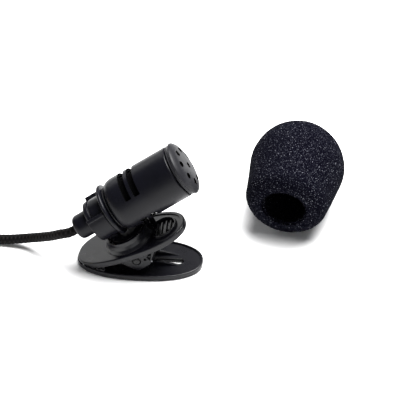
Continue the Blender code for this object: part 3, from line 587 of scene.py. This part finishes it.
def braided_tube(name, line, sides, start_at=0.0):
    """A closed braided tube along the line's points: strands wind both ways and cross over and under each
    other. start_at is how far along the whole cable this stretch begins, so that the braid runs on."""
    along = start_at + distances(line)
    tangent = np.gradient(line, axis=0)
    tangent /= np.linalg.norm(tangent, axis=1)[:, None]
    side = np.cross(tangent[0], (0.0, 0.0, 1.0))
    sideways = [side / np.linalg.norm(side)]
    for t in tangent[1:]:
        carried = sideways[-1] - t * (sideways[-1] @ t)
        sideways.append(carried / np.linalg.norm(carried))
    sideways = np.array(sideways)
    upward = np.cross(tangent, sideways)
    turn = 2 * np.pi * np.arange(sides) / sides
    wind = 2 * np.pi * along[:, None] / BRAID_PITCH
    one = BRAID_STRANDS * (turn[None, :] + wind)
    other = BRAID_STRANDS * (turn[None, :] - wind)
    over = 0.5 + 0.5 * np.cos(0.5 * (one + other)) * np.cos(0.5 * (one - other))
    height = np.maximum((0.5 + 0.5 * np.cos(one)) * (0.55 + 0.45 * over),
                        (0.5 + 0.5 * np.cos(other)) * (1.0 - 0.45 * over))
    radius = CABLE_RADIUS * (1 - BRAID_DEPTH / 2 + BRAID_DEPTH * height)
    outward = (np.cos(turn)[None, :, None] * sideways[:, None, :]
               + np.sin(turn)[None, :, None] * upward[:, None, :])
    points = line[:, None, :] + radius[:, :, None] * outward
    rings = len(line)
    vertices = np.concatenate([points.reshape(-1, 3), line[:1], line[-1:]])
    faces = []
    for i in range(rings - 1):
        for j in range(sides):
            k = (j + 1) % sides
            faces.append((i * sides + j, i * sides + k, (i + 1) * sides + k, (i + 1) * sides + j))
    first, last = rings * sides, rings * sides + 1
    for j in range(sides):
        k = (j + 1) % sides
        faces.append((first, k, j))
        faces.append((last, (rings - 1) * sides + j, (rings - 1) * sides + k))
    mesh = bpy.data.meshes.new(name)
    mesh.from_pydata(vertices.tolist(), [], faces)
    shape = bmesh.new()
    shape.from_mesh(mesh)
    bmesh.ops.recalc_face_normals(shape, faces=shape.faces)
    shape.to_mesh(mesh)
    shape.free()
    # the relief's height, which the braid's colour follows as painted shade and painted highlights
    strand = mesh.attributes.new("strand", "FLOAT", "POINT")
    strand.data.foreach_set("value", np.append(height.ravel(), [0.0, 0.0]).astype(np.float32))
    mesh.materials.append(BRAID)
    mesh.shade_smooth()
    piece = bpy.data.objects.new(name, mesh)
    SCENE.collection.objects.link(piece)
    return piece


def ease(t):
    t = max(0.0, min(1.0, t))
    return t * t * (3 - 2 * t)


def coil_points(per_turn=60):
    """The coil's turns, clockwise seen from above, from the near side: each layer is a flat spiral,
    alternately inwards and outwards, and half a turn climbs to the next. The last stretch rises onto the
    top."""
    inner, outer = COIL_COLUMNS
    pitch = 2 * CABLE_RADIUS
    spiral = (outer - inner) / pitch       # turns in a layer
    climb, bulge = 0.5, 0.35 * MM          # turns from layer to layer, and how far they swing out
    final = 0.4                            # turns of the last stretch
    last_spiral = spiral - final
    total = (COIL_LAYERS - 1) * (spiral + climb) + last_spiral + final
    points = []
    count = round(total * per_turn)
    for step in range(count + 1):
        turns = total * step / count
        layer = min(COIL_LAYERS - 1, int(turns / (spiral + climb)))
        into = turns - layer * (spiral + climb)
        inwards = layer % 2 == 0
        floor = COIL_FLOOR + pitch * layer
        if layer == COIL_LAYERS - 1 and into > last_spiral:
            share = into - last_spiral
            start = inner + pitch * last_spiral
            radius = start + (COIL_END[0] - start) * ease((share - 0.1) / 0.3)
            height = floor + COIL_END[1] * ease(share / 0.25)
        elif into <= spiral:
            radius = outer - pitch * into if inwards else inner + pitch * into
            height = floor
        else:
            share = (into - spiral) / climb
            swing = bulge * math.sin(math.pi * share)
            radius = inner - swing if inwards else outer + swing
            height = floor + pitch * ease(share)
        angle = -math.pi / 2 - 2 * math.pi * turns
        points.append(COIL_CENTRE + Vector((radius * math.cos(angle), radius * math.sin(angle), height)))
    return points


def split_line(line, length):
    """The line cut in two at that length along it; both halves hold the cut's point."""
    cut = int(np.searchsorted(distances(line), length))
    return line[:cut + 1], line[cut:]


def build_cables():
    ends = (BODY_LENGTH - ROOT_INSIDE, BODY_LENGTH + STRAIGHT_LEAD)
    leaving = [MIC_FRAME @ Vector((0, 0, station(s))) for s in ends]
    lead = smooth_route(leaving + [Vector(p) * MM for p in LEAD_ROUTE], 0.11 * MM)
    root_line, run_line = split_line(lead, ROOT_LENGTH)
    root = braided_tube("cable_root", root_line, 40)
    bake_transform(root)
    run = braided_tube("cable_run", run_line, 40, line_length(root_line))
    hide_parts("cord_lead")
    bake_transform(run)
    wound = [Vector(LEAD_ROUTE[-1]) * MM] + coil_points() + [Vector(p) * MM for p in TAIL_ROUTE]
    line = smooth_route(wound, 0.34 * MM)
    coil = braided_tube("cable_coil", line, 22, line_length(lead))
    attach(coil, "clip_base")
    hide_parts("cord_coil", "cord_tail")
    return coil, line


# ------------------------ plug and tie

def tube(radius, low, high, bore=1.05):
    """A plain tube's profile, in millimetres."""
    return [(radius, high), (radius, low), (bore, low), (bore, high)]


def build_plug():
    """The 3.5 mm plug; heights run from the cable end to the tip."""
    parts = (
        ("plug_boot", [(2.6, 5.75), (2.3, 0.4), (2.1, 0.0), (1.2, 0.0), (1.2, 5.75)], RUBBER, "rubber", 0.15),
        ("plug_handle", [
            (2.5, 20.7), (3.45, 20.7), (3.75, 20.45), (3.9, 20.0), (3.9, 18.9), (3.72, 18.75),
            (3.72, 18.45), (3.9, 18.3), (3.9, 8.9), (3.72, 8.75), (3.72, 8.45), (3.9, 8.3), (3.9, 7.4),
            (3.6, 6.4), (3.3, 6.0), (0.9, 6.0), (0.9, 19.2), (2.5, 19.2)], BODY, "black_plastic", 0.18),
        ("plug_collar", [(3.1, 21.9), (3.1, 21.0), (2.2, 21.0), (2.2, 19.5), (1.05, 19.5), (1.05, 21.9)],
         GOLD, "gold_plate", 0.08),
        ("sleeve_contact", tube(1.75, 22.0, 27.85), GOLD, "gold_plate", 0.06),
        ("rear_insulator", tube(1.7, 27.9, 29.0), DARK, "insulator", 0.04),
        ("ring_contact", tube(1.75, 29.05, 31.05), GOLD, "gold_plate", 0.06),
        ("front_insulator", tube(1.7, 31.1, 32.2), DARK, "insulator", 0.04),
        ("tip_contact", [
            (0, 36.0), (0.45, 35.92), (0.85, 35.6), (1.7, 34.3), (1.72, 34.0), (1.2, 33.1), (1.3, 32.9),
            (1.65, 32.5), (1.65, 32.25), (0.7, 32.25), (0.7, 19.6), (0, 19.6)], GOLD, "gold_plate", 0.15),
    )
    pieces = []
    for node, profile, material, slot, edge in parts:
        piece = lathe(node + "_fine", mm(*profile), PLUG_FRAME, 72, edge * MM)
        if node == "plug_boot":
            cut_boot_ribs(piece)
        pieces.append(finish_piece(piece, material, "clip_base", slot, node))
    return pieces


def cut_boot_ribs(boot):
    """Staggered slots that let the plug's boot bend."""
    tools = []
    for i in range(5):
        for side in (-1, 1):
            height = (0.9 + i * 0.95) * MM
            across = Matrix.Rotation(math.pi / 2 * (i % 2), 4, "Z")
            low, high = (side * 0.5 - 1.7) * MM, (side * 0.5 + 1.7) * MM
            x = (1.55 * MM, 4 * MM) if side > 0 else (-4 * MM, -1.55 * MM)
            tools.append(block("boot_slot", (x[0], low, height), (x[1], high, height + 0.42 * MM),
                               PLUG_FRAME @ across))
    combine(boot, tools)


def rounded_rectangle(low, high, edge, count=10):
    corners = (
        ((high[0] - edge, high[1] - edge), 0), ((low[0] + edge, high[1] - edge), 90),
        ((low[0] + edge, low[1] + edge), 180), ((high[0] - edge, low[1] + edge), 270))
    points = []
    for centre, start in corners:
        points += arc(edge, math.radians(start), math.radians(start + 90), count, centre)
    return points


def tie_outline(margin):
    low, high = COIL_BOX
    return rounded_rectangle((low[0] - margin, low[1] - margin), (high[0] + margin, high[1] + margin),
                             1.9 * MM + margin)


def build_tie():
    """The rubber strap round the coil, with its overlapping tongue."""
    matrix = COIL_FRAME @ Matrix.Rotation(TIE_TURN, 4, "Z")
    strap = plate("coil_tie_fine", tie_outline(0.64 * MM), -TIE_HALF, TIE_HALF, matrix, upright=True,
                  edge=0.16 * MM)
    combine(strap, [plate("inside", tie_outline(0.22 * MM), -3 * MM, 3 * MM, matrix, upright=True)])
    outside = COIL_BOX[1][0]
    tongue = block("tongue", (outside + 0.4 * MM, -1.6 * MM, 2.4 * MM),
                   (outside + 1.05 * MM, 1.6 * MM, 7.2 * MM), matrix, edge=0.2 * MM)
    combine(strap, [tongue], "UNION")
    return finish_piece(strap, RUBBER, "clip_base", "rubber", "coil_tie")


# ------------------------ lower jaw

def underside(x):
    """Height at x of the lever plate's underside when the clip is shut."""
    depth = UPPER_TOP - UPPER_THICKNESS
    return HINGE.z - (x - HINGE.x) * PLATE_NORMAL.x / PLATE_NORMAL.z + depth / PLATE_NORMAL.z


def bite_face(name, rise, above, matrix=WORLD):
    """The zigzag face of the bite, raised by rise. It fills the space above the face, or below it."""
    across = TOOTH_PITCH / 2
    count = round((BITE_END_X - BITE_TIP.x) / across)
    slope = math.tan(BITE_SLOPE)
    face = []
    for i in range(count + 1):
        x = BITE_TIP.x + across * i
        tooth = TOOTH_HEIGHT * (i % 2) if i > 3 else 0.0
        face.append((x, BITE_TIP.z + slope * across * i + rise + tooth))
    end, start = face[-1][0], face[0][0] - 2 * MM
    if above:
        outline = face + [(end, 9 * MM), (start, 9 * MM)]
    else:
        back = -3.0 * MM
        outline = face + [
            (end, underside(end) - BITE_SKIN), (back, underside(back) - BITE_SKIN), (back, -6 * MM),
            (start, -6 * MM)]
    return plate(name, outline, -8 * MM, 8 * MM, matrix, upright=True)


def slot_outline(half):
    """The lower jaw's slot, that far to each side of its line and rounded at both ends."""
    return (arc(half, math.radians(90), math.radians(270), 17, (SLOT_X[0], SLOT_Y))
            + arc(half, math.radians(-90), math.radians(90), 17, (SLOT_X[1], SLOT_Y)))


def build_lower_jaw():
    jaw = plate("clip_lower_jaw", jaw_outline(LOWER_SIZE), 0, LOWER_RIM, edge=0.22 * MM, segments=4)
    combine(jaw, [plate("tray", jaw_outline(LOWER_SIZE, inset=0.5 * MM), LOWER_THICKNESS, 3 * MM)])
    solid_front = jaw_outline(LOWER_SIZE, inset=0.25 * MM, high=BITE_END_X - 0.05 * MM)
    combine(jaw, [plate("nose", solid_front, 0.4 * MM, 3.2 * MM)], "UNION")
    combine(jaw, [bite_face("bite", 0.0, above=True)])
    parts = []
    foot = 0.4 * MM
    lug = arc(LUG_RADIUS, math.radians(-10), math.radians(190), 33, (HINGE.x, HINGE.z))
    lug += [(HINGE.x - 2.3 * MM, foot), (HINGE.x + 2.6 * MM, foot)]
    for side in (-1, 1):
        inner, outer = sorted((side * LUG_Y[0], side * LUG_Y[1]))
        parts.append(plate("lug", lug, inner, outer, upright=True, edge=0.08 * MM))
        ramp = mm((5.2, 0.5), (11.4, 0.5), (11.4, 0.85), (6.4, 2.0), (5.2, 2.0))
        middle = side * 1.75 * MM
        parts.append(plate("rib", ramp, middle - 0.3 * MM, middle + 0.3 * MM, upright=True, edge=0.07 * MM))
    combine(jaw, parts, "UNION")
    combine(jaw, [
        plate("slot", slot_outline(SLOT_HALF), -2 * MM, 4 * MM),
        plate("slot_rim", slot_outline(SLOT_HALF + 0.22 * MM), 0.45 * MM, 4 * MM),
        rod("hole", PIN_HOLE, -6 * MM, 6 * MM, PIN_FRAME)])
    finish_piece(jaw, CLIP, "clip_base", "clip_plastic", "lower_jaw")


# ------------------------ upper jaw

def on_lever(x, y=0.0, z=0.0):
    """A frame square to the lever plate, that far from the hinge pin."""
    return HINGE_FRAME @ Matrix.Translation((x, y, z))


def add_seat(jaw, top):
    """The round seat that the holder turns in, and the ribbed recess behind it."""
    collar = [
        (POCKET_RADIUS + 0.05 * MM, COLLAR_TOP), (COLLAR_RADIUS, COLLAR_TOP), (COLLAR_RADIUS, 1.5 * MM),
        (COLLAR_RADIUS + 0.28 * MM, 0.75 * MM), (SKIRT_RADIUS, 0.12 * MM), (SKIRT_RADIUS, -0.5 * MM),
        (POCKET_RADIUS, -0.5 * MM), (POCKET_RADIUS, COLLAR_TOP)]
    recess = on_lever(RECESS_X, 0, top)
    ring = lathe("ring", mm((2.8, 0.3), (3.15, 0.3), (3.35, -0.7), (2.8, -0.7)), recess, 96, 0.14 * MM)
    combine(jaw, [rod("dish", 2.85 * MM, -0.6 * MM, 2 * MM, recess, 96)])
    combine(jaw, [lathe("collar", collar, on_lever(SWIVEL_X, 0, top), 128, 0.16 * MM), ring], "UNION")
    ribs = []
    for i in (-1.5, -0.5, 0.5, 1.5):
        low, high = (i * 1.05 - 0.2) * MM, (i * 1.05 + 0.2) * MM
        ribs.append(block("rib", (low, -2.35 * MM, -0.8 * MM), (high, 2.35 * MM, -0.22 * MM), recess,
                          edge=0.1 * MM))
    combine(jaw, ribs, "UNION")


def add_prongs(jaw, top):
    """Two flat prongs with a barb each, between the seat and the recess."""
    outline = mm((-0.45, -0.4), (0.45, -0.4), (0.38, 1.75), (0.75, 2.0), (0.55, 2.7), (0.0, 2.85),
                 (-0.4, 2.65))
    half = 0.45 * MM
    prongs = []
    for x, y in PRONGS:
        matrix = on_lever(x, y, top) @ Matrix.Rotation(PRONG_TURN, 4, "Z")
        prongs.append(plate("prong", outline, -half, half, matrix, upright=True, edge=0.1 * MM))
    combine(jaw, prongs, "UNION")


def add_ears(jaw, top):
    """The two ears that the hinge pin goes through."""
    front_foot = arc(1.0 * MM, math.radians(218), math.radians(285), 14, (-0.45 * MM, -1.5 * MM))
    rear_foot = arc(0.9 * MM, math.radians(285), math.radians(325), 10, (2.0 * MM, -0.95 * MM))
    ear = [(-3.6 * MM, top - 0.5 * MM), (-3.4 * MM, 0.7 * MM)] + front_foot + rear_foot
    ear += [(4.4 * MM, 0.7 * MM), (4.5 * MM, top - 0.5 * MM)]
    ears = []
    for side in (-1, 1):
        inner, outer = sorted((side * EAR_Y[0], side * EAR_Y[1]))
        ears.append(plate("ear", ear, inner, outer, HINGE_FRAME, upright=True, edge=0.12 * MM))
    combine(jaw, ears, "UNION")


def build_upper_jaw():
    top, bottom = UPPER_TOP, UPPER_TOP - UPPER_THICKNESS
    jaw = plate("clip_upper_jaw", jaw_outline(UPPER_SIZE), bottom, top, HINGE_FRAME, edge=0.34 * MM,
                segments=5)
    solid_front = jaw_outline(UPPER_SIZE, inset=0.3 * MM, high=NOSE_END)
    combine(jaw, [plate("nose", solid_front, -2.5 * MM, top - 0.5 * MM, HINGE_FRAME)], "UNION")
    tray = jaw_outline(UPPER_SIZE, inset=0.8 * MM, low=TRAY_START)
    combine(jaw, [
        bite_face("bite", BITE_GAP, above=False),
        plate("tray", tray, top - 0.25 * MM, top + 2 * MM, HINGE_FRAME)])
    add_seat(jaw, top)
    add_prongs(jaw, top)
    add_ears(jaw, top)
    step = bottom + 0.6 * MM       # where the rivet's hole widens for its head
    rivet_hole = lathe("rivet_hole", [
        (0, top + 1 * MM), (1.1 * MM, top + 1 * MM), (1.1 * MM, step), (1.8 * MM, step),
        (1.8 * MM, bottom - 1 * MM), (0, bottom - 1 * MM)], on_lever(SWIVEL_X), 48, SHARP)
    dimple = rod("dimple", DIMPLE_RADIUS, EAR_Y[1] - 0.45 * MM, 6 * MM,
                 on_lever(DIMPLE[0], 0, DIMPLE[1]) @ TURN_X, 32)
    combine(jaw, [rod("hole", EAR_HOLE, -6 * MM, 6 * MM, HINGE_FRAME @ TURN_X), dimple, rivet_hole])
    turns = [math.pi * (0.5 - i / 10) for i in range(11)]
    ball = [(BEAD_RADIUS * math.cos(t), BEAD_RADIUS * math.sin(t)) for t in turns]
    ball[0], ball[-1] = (0, BEAD_RADIUS), (0, -BEAD_RADIUS)
    combine(jaw, [lathe("bead", ball, on_lever(BEAD[0], -EAR_Y[1], BEAD[1]), 24, SHARP)], "UNION")
    finish_piece(jaw, CLIP, "clip_lever", "clip_plastic", "upper_jaw")
    # the prong tops get the darker copy of the clip plastic: painted shade
    paint_faces(jaw, PRONG_TOP_PAINTED_SHADE, HINGE_FRAME, lambda centre: centre.z > top + 0.35 * MM and any(
        math.hypot(centre.x - x, centre.y - y) < 1.1 * MM for x, y in PRONGS))


# ------------------------ pin and spring

def build_pin():
    head = [(0, 5.02), (0.42, 5.04), (0.62, 5.12), (0.74, 5.08), (0.76, 4.5), (0.5, 4.3)]
    profile = head + [(radius, -height) for radius, height in reversed(head)]
    pin = lathe("hinge_pin_fine", mm(*profile), PIN_FRAME, 40, 0.1 * MM)
    finish_piece(pin, BLACKENED, "clip_base", "blackened_steel", "hinge_pin")


def wire(name, points, radius, matrix=WORLD):
    """A smooth round wire with closed ends."""
    curve = bpy.data.curves.new(name, "CURVE")
    curve.dimensions = "3D"
    curve.bevel_depth = radius
    curve.bevel_resolution = 4
    curve.use_fill_caps = True
    spline = curve.splines.new("POLY")
    spline.points.add(len(points) - 1)
    for point, place in zip(spline.points, points):
        point.co = (*place, 1.0)
    temporary = bpy.data.objects.new(name, curve)
    SCENE.collection.objects.link(temporary)
    mesh = bpy.data.meshes.new_from_object(temporary.evaluated_get(bpy.context.evaluated_depsgraph_get()))
    bpy.data.objects.remove(temporary)
    shape = bmesh.new()
    shape.from_mesh(mesh)
    bmesh.ops.remove_doubles(shape, verts=shape.verts, dist=0.001 * MM)
    bmesh.ops.recalc_face_normals(shape, faces=shape.faces)
    return add_mesh(name, shape, matrix)


def build_spring():
    radius, thickness, pitch, first = 1.15 * MM, 0.22 * MM, 0.6 * MM, -1.8 * MM
    end_turn = 6.5 - math.degrees(math.asin(-PLATE_NORMAL.x)) / 360
    coil = [HINGE + Vector((x, first, z)) for x, z in mm((3.1, -2.4), (1.7, -1.9), (0.8, -1.4))]
    for i in range(int(end_turn * 36)):
        turn = i / 36
        angle = -math.pi / 2 - 2 * math.pi * turn
        across = first + pitch * turn
        coil.append(HINGE + Vector((radius * math.cos(angle), across, radius * math.sin(angle))))
    piece = wire("spring_coil_fine", smooth_route(coil, 0.16 * MM).tolist(), thickness)
    finish_piece(piece, STEEL, "clip_base", "steel", "torsion_spring", angle=60)
    y = first + pitch * end_turn
    leg = [Vector((x, y, radius)) for x in (0.35 * MM, 5.2 * MM)]
    piece = wire("spring_leg_fine", smooth_route(leg, 0.16 * MM).tolist(), thickness, HINGE_FRAME)
    finish_piece(piece, STEEL, "clip_lever", "steel", "spring_upper_leg", angle=60)


# ------------------------ holder

def grip_outline():
    """The C that snaps over the neck, open towards local -X, with a rounded lip on each end."""
    opening = math.radians(90) - GRIP_HORIZON
    first, last = -math.pi + opening, math.pi - opening
    outer = arc(GRIP_OUTER, first + math.radians(9), last - math.radians(9), 64)
    inner = arc(GRIP_INNER, last, first, 64)
    far_lip = arc(GRIP_OUTER + 0.35 * MM, last - math.radians(7), last, 5)
    near_lip = arc(GRIP_OUTER + 0.35 * MM, first, first + math.radians(7), 5)
    return near_lip + outer + far_lip + inner


def build_holder():
    disc = lathe("mic_holder", [
        (1.1 * MM, 2.6 * MM), (DISC_RADIUS - 1.0 * MM, 2.6 * MM), (DISC_RADIUS - 0.3 * MM, 2.3 * MM),
        (DISC_RADIUS, 1.9 * MM), (DISC_RADIUS, 1.0 * MM), (1.1 * MM, 1.0 * MM)], SWIVEL_FRAME, 96, 0.15 * MM)
    cap = rod("disc_cap", 1.6 * MM, 2.15 * MM, 2.58 * MM, SWIVEL_FRAME, 48, 0.1 * MM)
    stem = block("stem", (-3.5 * MM, -1.6 * MM, 1.7 * MM), (-1.55 * MM, 1.6 * MM, 3.5 * MM), SWIVEL_FRAME,
                 edge=0.15 * MM)
    grip = plate("grip", grip_outline(), -GRIP_WIDTH / 2, GRIP_WIDTH / 2, MIC_FRAME, edge=0.12 * MM)
    combine(disc, [cap, stem, grip], "UNION")
    finish_piece(disc, BODY, "holder", "black_plastic", "holder")


# ------------------------ microphone

def build_grille_cap():
    cap = lathe("grille_cap", stations(
        (0, 0.05), (1.8, 0.09), (3.2, 0.2), (4.3, 0.36), (4.9, 0.53), (5.45, 0.8), (5.85, 1.1), (6.08, 1.4),
        (6.05, 1.62), (5.85, 1.82), (5.8, 2.05), (5.88, 2.3), (5.0, 2.3), (5.0, 3.4), (4.5, 3.4), (4.5, 1.35),
        (0, 1.2)), MIC_FRAME, 144, 0.2 * MM)
    places = [(0.0, 0.0)]
    for i in range(HOLE_COUNT):
        angle = 2 * math.pi * i / HOLE_COUNT
        places.append((HOLE_RING * math.cos(angle), HOLE_RING * math.sin(angle)))
    tools = []
    for x, y in places:
        matrix = MIC_FRAME @ Matrix.Translation((x, y, station(0.0)))
        tools.append(rod("hole", HOLE_RADIUS, -2 * MM, 1 * MM, matrix, 32))
    combine(cap, tools)
    finish_piece(cap, CAP, "microphone", "grille_metal", "front_grille_cap", angle=40)
    # the walls inside the holes get the near-black material: painted shade
    paint_faces(cap, PAINTED_SHADE_INSIDE, MIC_FRAME, lambda centre: centre.z < station(0.3 * MM) and any(
        math.hypot(centre.x - x, centre.y - y) < HOLE_RADIUS + 0.03 * MM for x, y in places))


def build_barrel():
    barrel = lathe("mic_barrel", stations(
        (5.3, 2.65), (5.72, 2.65), (5.86, 2.8), (5.9, 3.1), (5.9, 16.35), (5.87, 16.95), (5.76, 17.55),
        (5.56, 18.05), (5.3, 18.45), (5.1, 18.6), (3.75, 18.6), (3.75, 17.85), (5.3, 17.85)), MIC_FRAME, 144,
        0.15 * MM)
    tools = []
    for front, back in VENTS:
        for middle in (math.pi, 0.0):
            start, end = middle - VENT_HALF_ANGLE, middle + VENT_HALF_ANGLE
            outline = arc(7 * MM, start, end, 41) + arc(4.5 * MM, end, start, 41)
            tools.append(plate("vent", outline, station(back), station(front), MIC_FRAME))
    combine(barrel, tools)
    finish_piece(barrel, BODY, "microphone", "black_plastic", "barrel_housing")
    skin = 0.02 * MM
    # the walls inside the vents get the near-black material: painted shade
    paint_faces(barrel, PAINTED_SHADE_INSIDE, MIC_FRAME, lambda centre: math.hypot(centre.x, centre.y) < 5.82 * MM and any(
        station(back + skin) < centre.z < station(front - skin) for front, back in VENTS))


def build_neck():
    bushing = lathe("mic_bushing", stations(
        (3.4, 16.65), (3.4, 19.4), (5.6, 19.4), (5.8, 19.58), (5.85, 19.82), (5.78, 20.05), (5.5, 20.2),
        (4.1, 20.2), (4.1, 23.25), (3.8, 23.3), (3.8, 23.65), (4.15, 23.7), (4.15, 24.4), (4.0, 24.7),
        (3.75, 24.8), (2.2, 24.8), (2.2, 23.05), (1.45, 23.05), (1.45, 19.25), (2.4, 19.25), (2.4, 16.65)),
        MIC_FRAME, 128, 0.14 * MM)
    finish_piece(bushing, BODY, "microphone", "black_plastic", "rear_bushing")
    relief = lathe("cable_boss", stations(
        (1.9, 23.35), (1.9, 25.05), (2.65, 25.05), (2.75, 25.25), (2.75, 27.75), (2.6, 28.3), (2.3, 28.6),
        (1.7, 28.7), (1.15, 28.7), (1.15, 23.35)), MIC_FRAME, 96, 0.16 * MM)
    finish_piece(relief, BODY, "microphone", "rubber", "strain_relief")


# ------------------------ windscreen

def build_windscreen():
    """Open-cell foam: a fine skin whose points are moved by layered noise, so that its surface is pitted."""
    sweep = math.pi / 2 + FOAM_TAPER
    turns = [sweep * i / 80 for i in range(81)]
    dome = [(FOAM_RADIUS * math.sin(t), FOAM_RADIUS * math.cos(t)) for t in turns]
    dome[0] = (0.0, FOAM_RADIUS)
    shoulder, top = dome[-1]
    edge, round_in = FOAM_EDGE, 0.8 * MM
    end = -FOAM_FACE
    side_radius = shoulder - (top - end - edge) * math.tan(FOAM_TAPER)
    side = [(shoulder + (side_radius - shoulder) * i / 22, top + (end + edge - top) * i / 22)
            for i in range(1, 22)]
    lip = arc(edge, 0.0, -math.pi / 2, 17, (side_radius - edge, end + edge))
    face = [(lip[-1][0] + (FOAM_BORE + round_in - lip[-1][0]) * i / 3, end) for i in range(1, 4)]
    mouth = arc(round_in, math.radians(270), math.radians(180), 5, (FOAM_BORE + round_in, end + round_in))
    depth = end + FOAM_BORE_DEPTH
    wall = [(FOAM_BORE, end + round_in + (FOAM_BORE_DEPTH - 2.3 * MM) * i / 34) for i in range(1, 35)]
    floor = [(FOAM_BORE - 1.5 * MM, depth), (1.5 * MM, depth), (0.0, depth)]
    profile = dome + side + lip + face + mouth[1:] + wall + floor
    foam = lathe("foam_windscreen", profile, FOAM_FRAME, 220, SHARP)
    mesh = foam.data
    mesh.shade_smooth()
    bpy.context.view_layer.update()
    count = len(mesh.vertices)
    normals = np.zeros(count * 3)
    mesh.vertex_normals.foreach_get("vector", normals)
    places = np.zeros(count * 3)
    mesh.vertices.foreach_get("co", places)
    normals, places = normals.reshape(-1, 3), places.reshape(-1, 3)
    layers = mm((0.045, 0.62), (0.050, 0.30), (0.16, 7.0))     # depth and size of the pits, grain and sag
    moved = [sum(depth * noise.noise(Vector(place) / size) for depth, size in layers) - 0.06 * MM
             for place in places]
    places += normals * np.array(moved)[:, None]
    places[:, 2] = np.maximum(places[:, 2], 0.02 * MM)
    mesh.vertices.foreach_set("co", places.ravel())
    mesh.update()
    mesh.materials.append(FOAM)
    # the inside of the bore gets the darkened foam: painted shade
    paint_faces(foam, FOAM_PAINTED_SHADE, FOAM_FRAME, lambda centre: (
        end + 0.9 * MM < centre.z < depth + MM and math.hypot(centre.x, centre.y) < FOAM_BORE + 0.5 * MM))
    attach(foam, "windscreen")
    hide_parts("windscreen")


# ------------------------ pieces inside

def dress_inner_nodes():
    """The pieces inside keep their own meshes and get their own finishes."""
    finishes = {
        "acoustic_mesh_disc": CLOTH, "vent_screen": CLOTH, "electret_capsule": CAN, "capsule_seat": RUBBER,
        "retaining_ring": STEEL, "rear_gasket": RUBBER, "cable_crimp": STEEL, "cable_tail": DARK,
        "filter_board": BOARD, "filter_capacitor": DARK, "signal_lead": RED, "ground_lead": WHITE,
        "swivel_washer": STEEL, "swivel_rivet": STEEL}
    for name, material in finishes.items():
        node = NODES[name]
        node.data.materials.clear()
        node.data.materials.append(material)
        weld = node.modifiers.new("weld", "WELD")
        weld.merge_threshold = 0.001 * MM
        node.data.shade_smooth()
        split = node.modifiers.new("creases", "EDGE_SPLIT")
        split.split_angle = math.radians(35)


# ------------------------ floor and light

def build_stage():
    shape = bmesh.new()
    bmesh.ops.create_grid(shape, x_segments=1, y_segments=1, size=1.5)
    floor = add_mesh("floor", shape)
    floor.location.z = -0.05 * MM
    nodes = Nodes("pale_floor")
    nodes.colours(nodes.noise(40 * MM, 2.0), (0.3, (0.86, 0.86, 0.86)), (0.7, (0.88, 0.88, 0.88)))
    nodes.set(Roughness=0.7, Specular_IOR_Level=0.15)
    floor.data.materials.append(nodes.material)


def area_light(name, place, target, size, power, colour=(1, 1, 1)):
    data = bpy.data.lights.new(name, "AREA")
    data.shape = "RECTANGLE"
    data.size, data.size_y = size
    data.energy = power
    data.color = colour
    light = bpy.data.objects.new(name, data)
    SCENE.collection.objects.link(light)
    light.location = place
    light.rotation_mode = "QUATERNION"
    light.rotation_quaternion = (Vector(target) - Vector(place)).to_track_quat("-Z", "Y")


def light_scene():
    world = bpy.data.worlds.new("studio")
    world.use_nodes = True
    world.node_tree.nodes["Background"].inputs["Color"].default_value = (0.97, 0.98, 1.0, 1.0)
    world.node_tree.nodes["Background"].inputs["Strength"].default_value = 0.09
    SCENE.world = world
    SCENE.view_settings.view_transform = "Standard"
    SCENE.view_settings.look = "None"
    middle = (0.0, 0.0, 0.01)
    area_light("key_softbox", (0.16, 0.16, 0.64), middle, (0.50, 0.50), 17.0)
    area_light("front_softbox", (0.20, -0.60, 0.24), middle, (0.60, 0.25), 0.9, (0.95, 0.97, 1.0))
    area_light("back_softbox", (-0.40, 0.54, 0.28), middle, (0.50, 0.25), 0.9)


# ------------------------ the object

make_camera()
build_stage()
coil, coil_line = build_cables()
plug_pieces = build_plug()
tie = build_tie()
build_lower_jaw()
build_upper_jaw()
build_pin()
build_spring()
build_holder()
build_grille_cap()
build_barrel()
build_neck()
build_windscreen()
dress_inner_nodes()
light_scene()
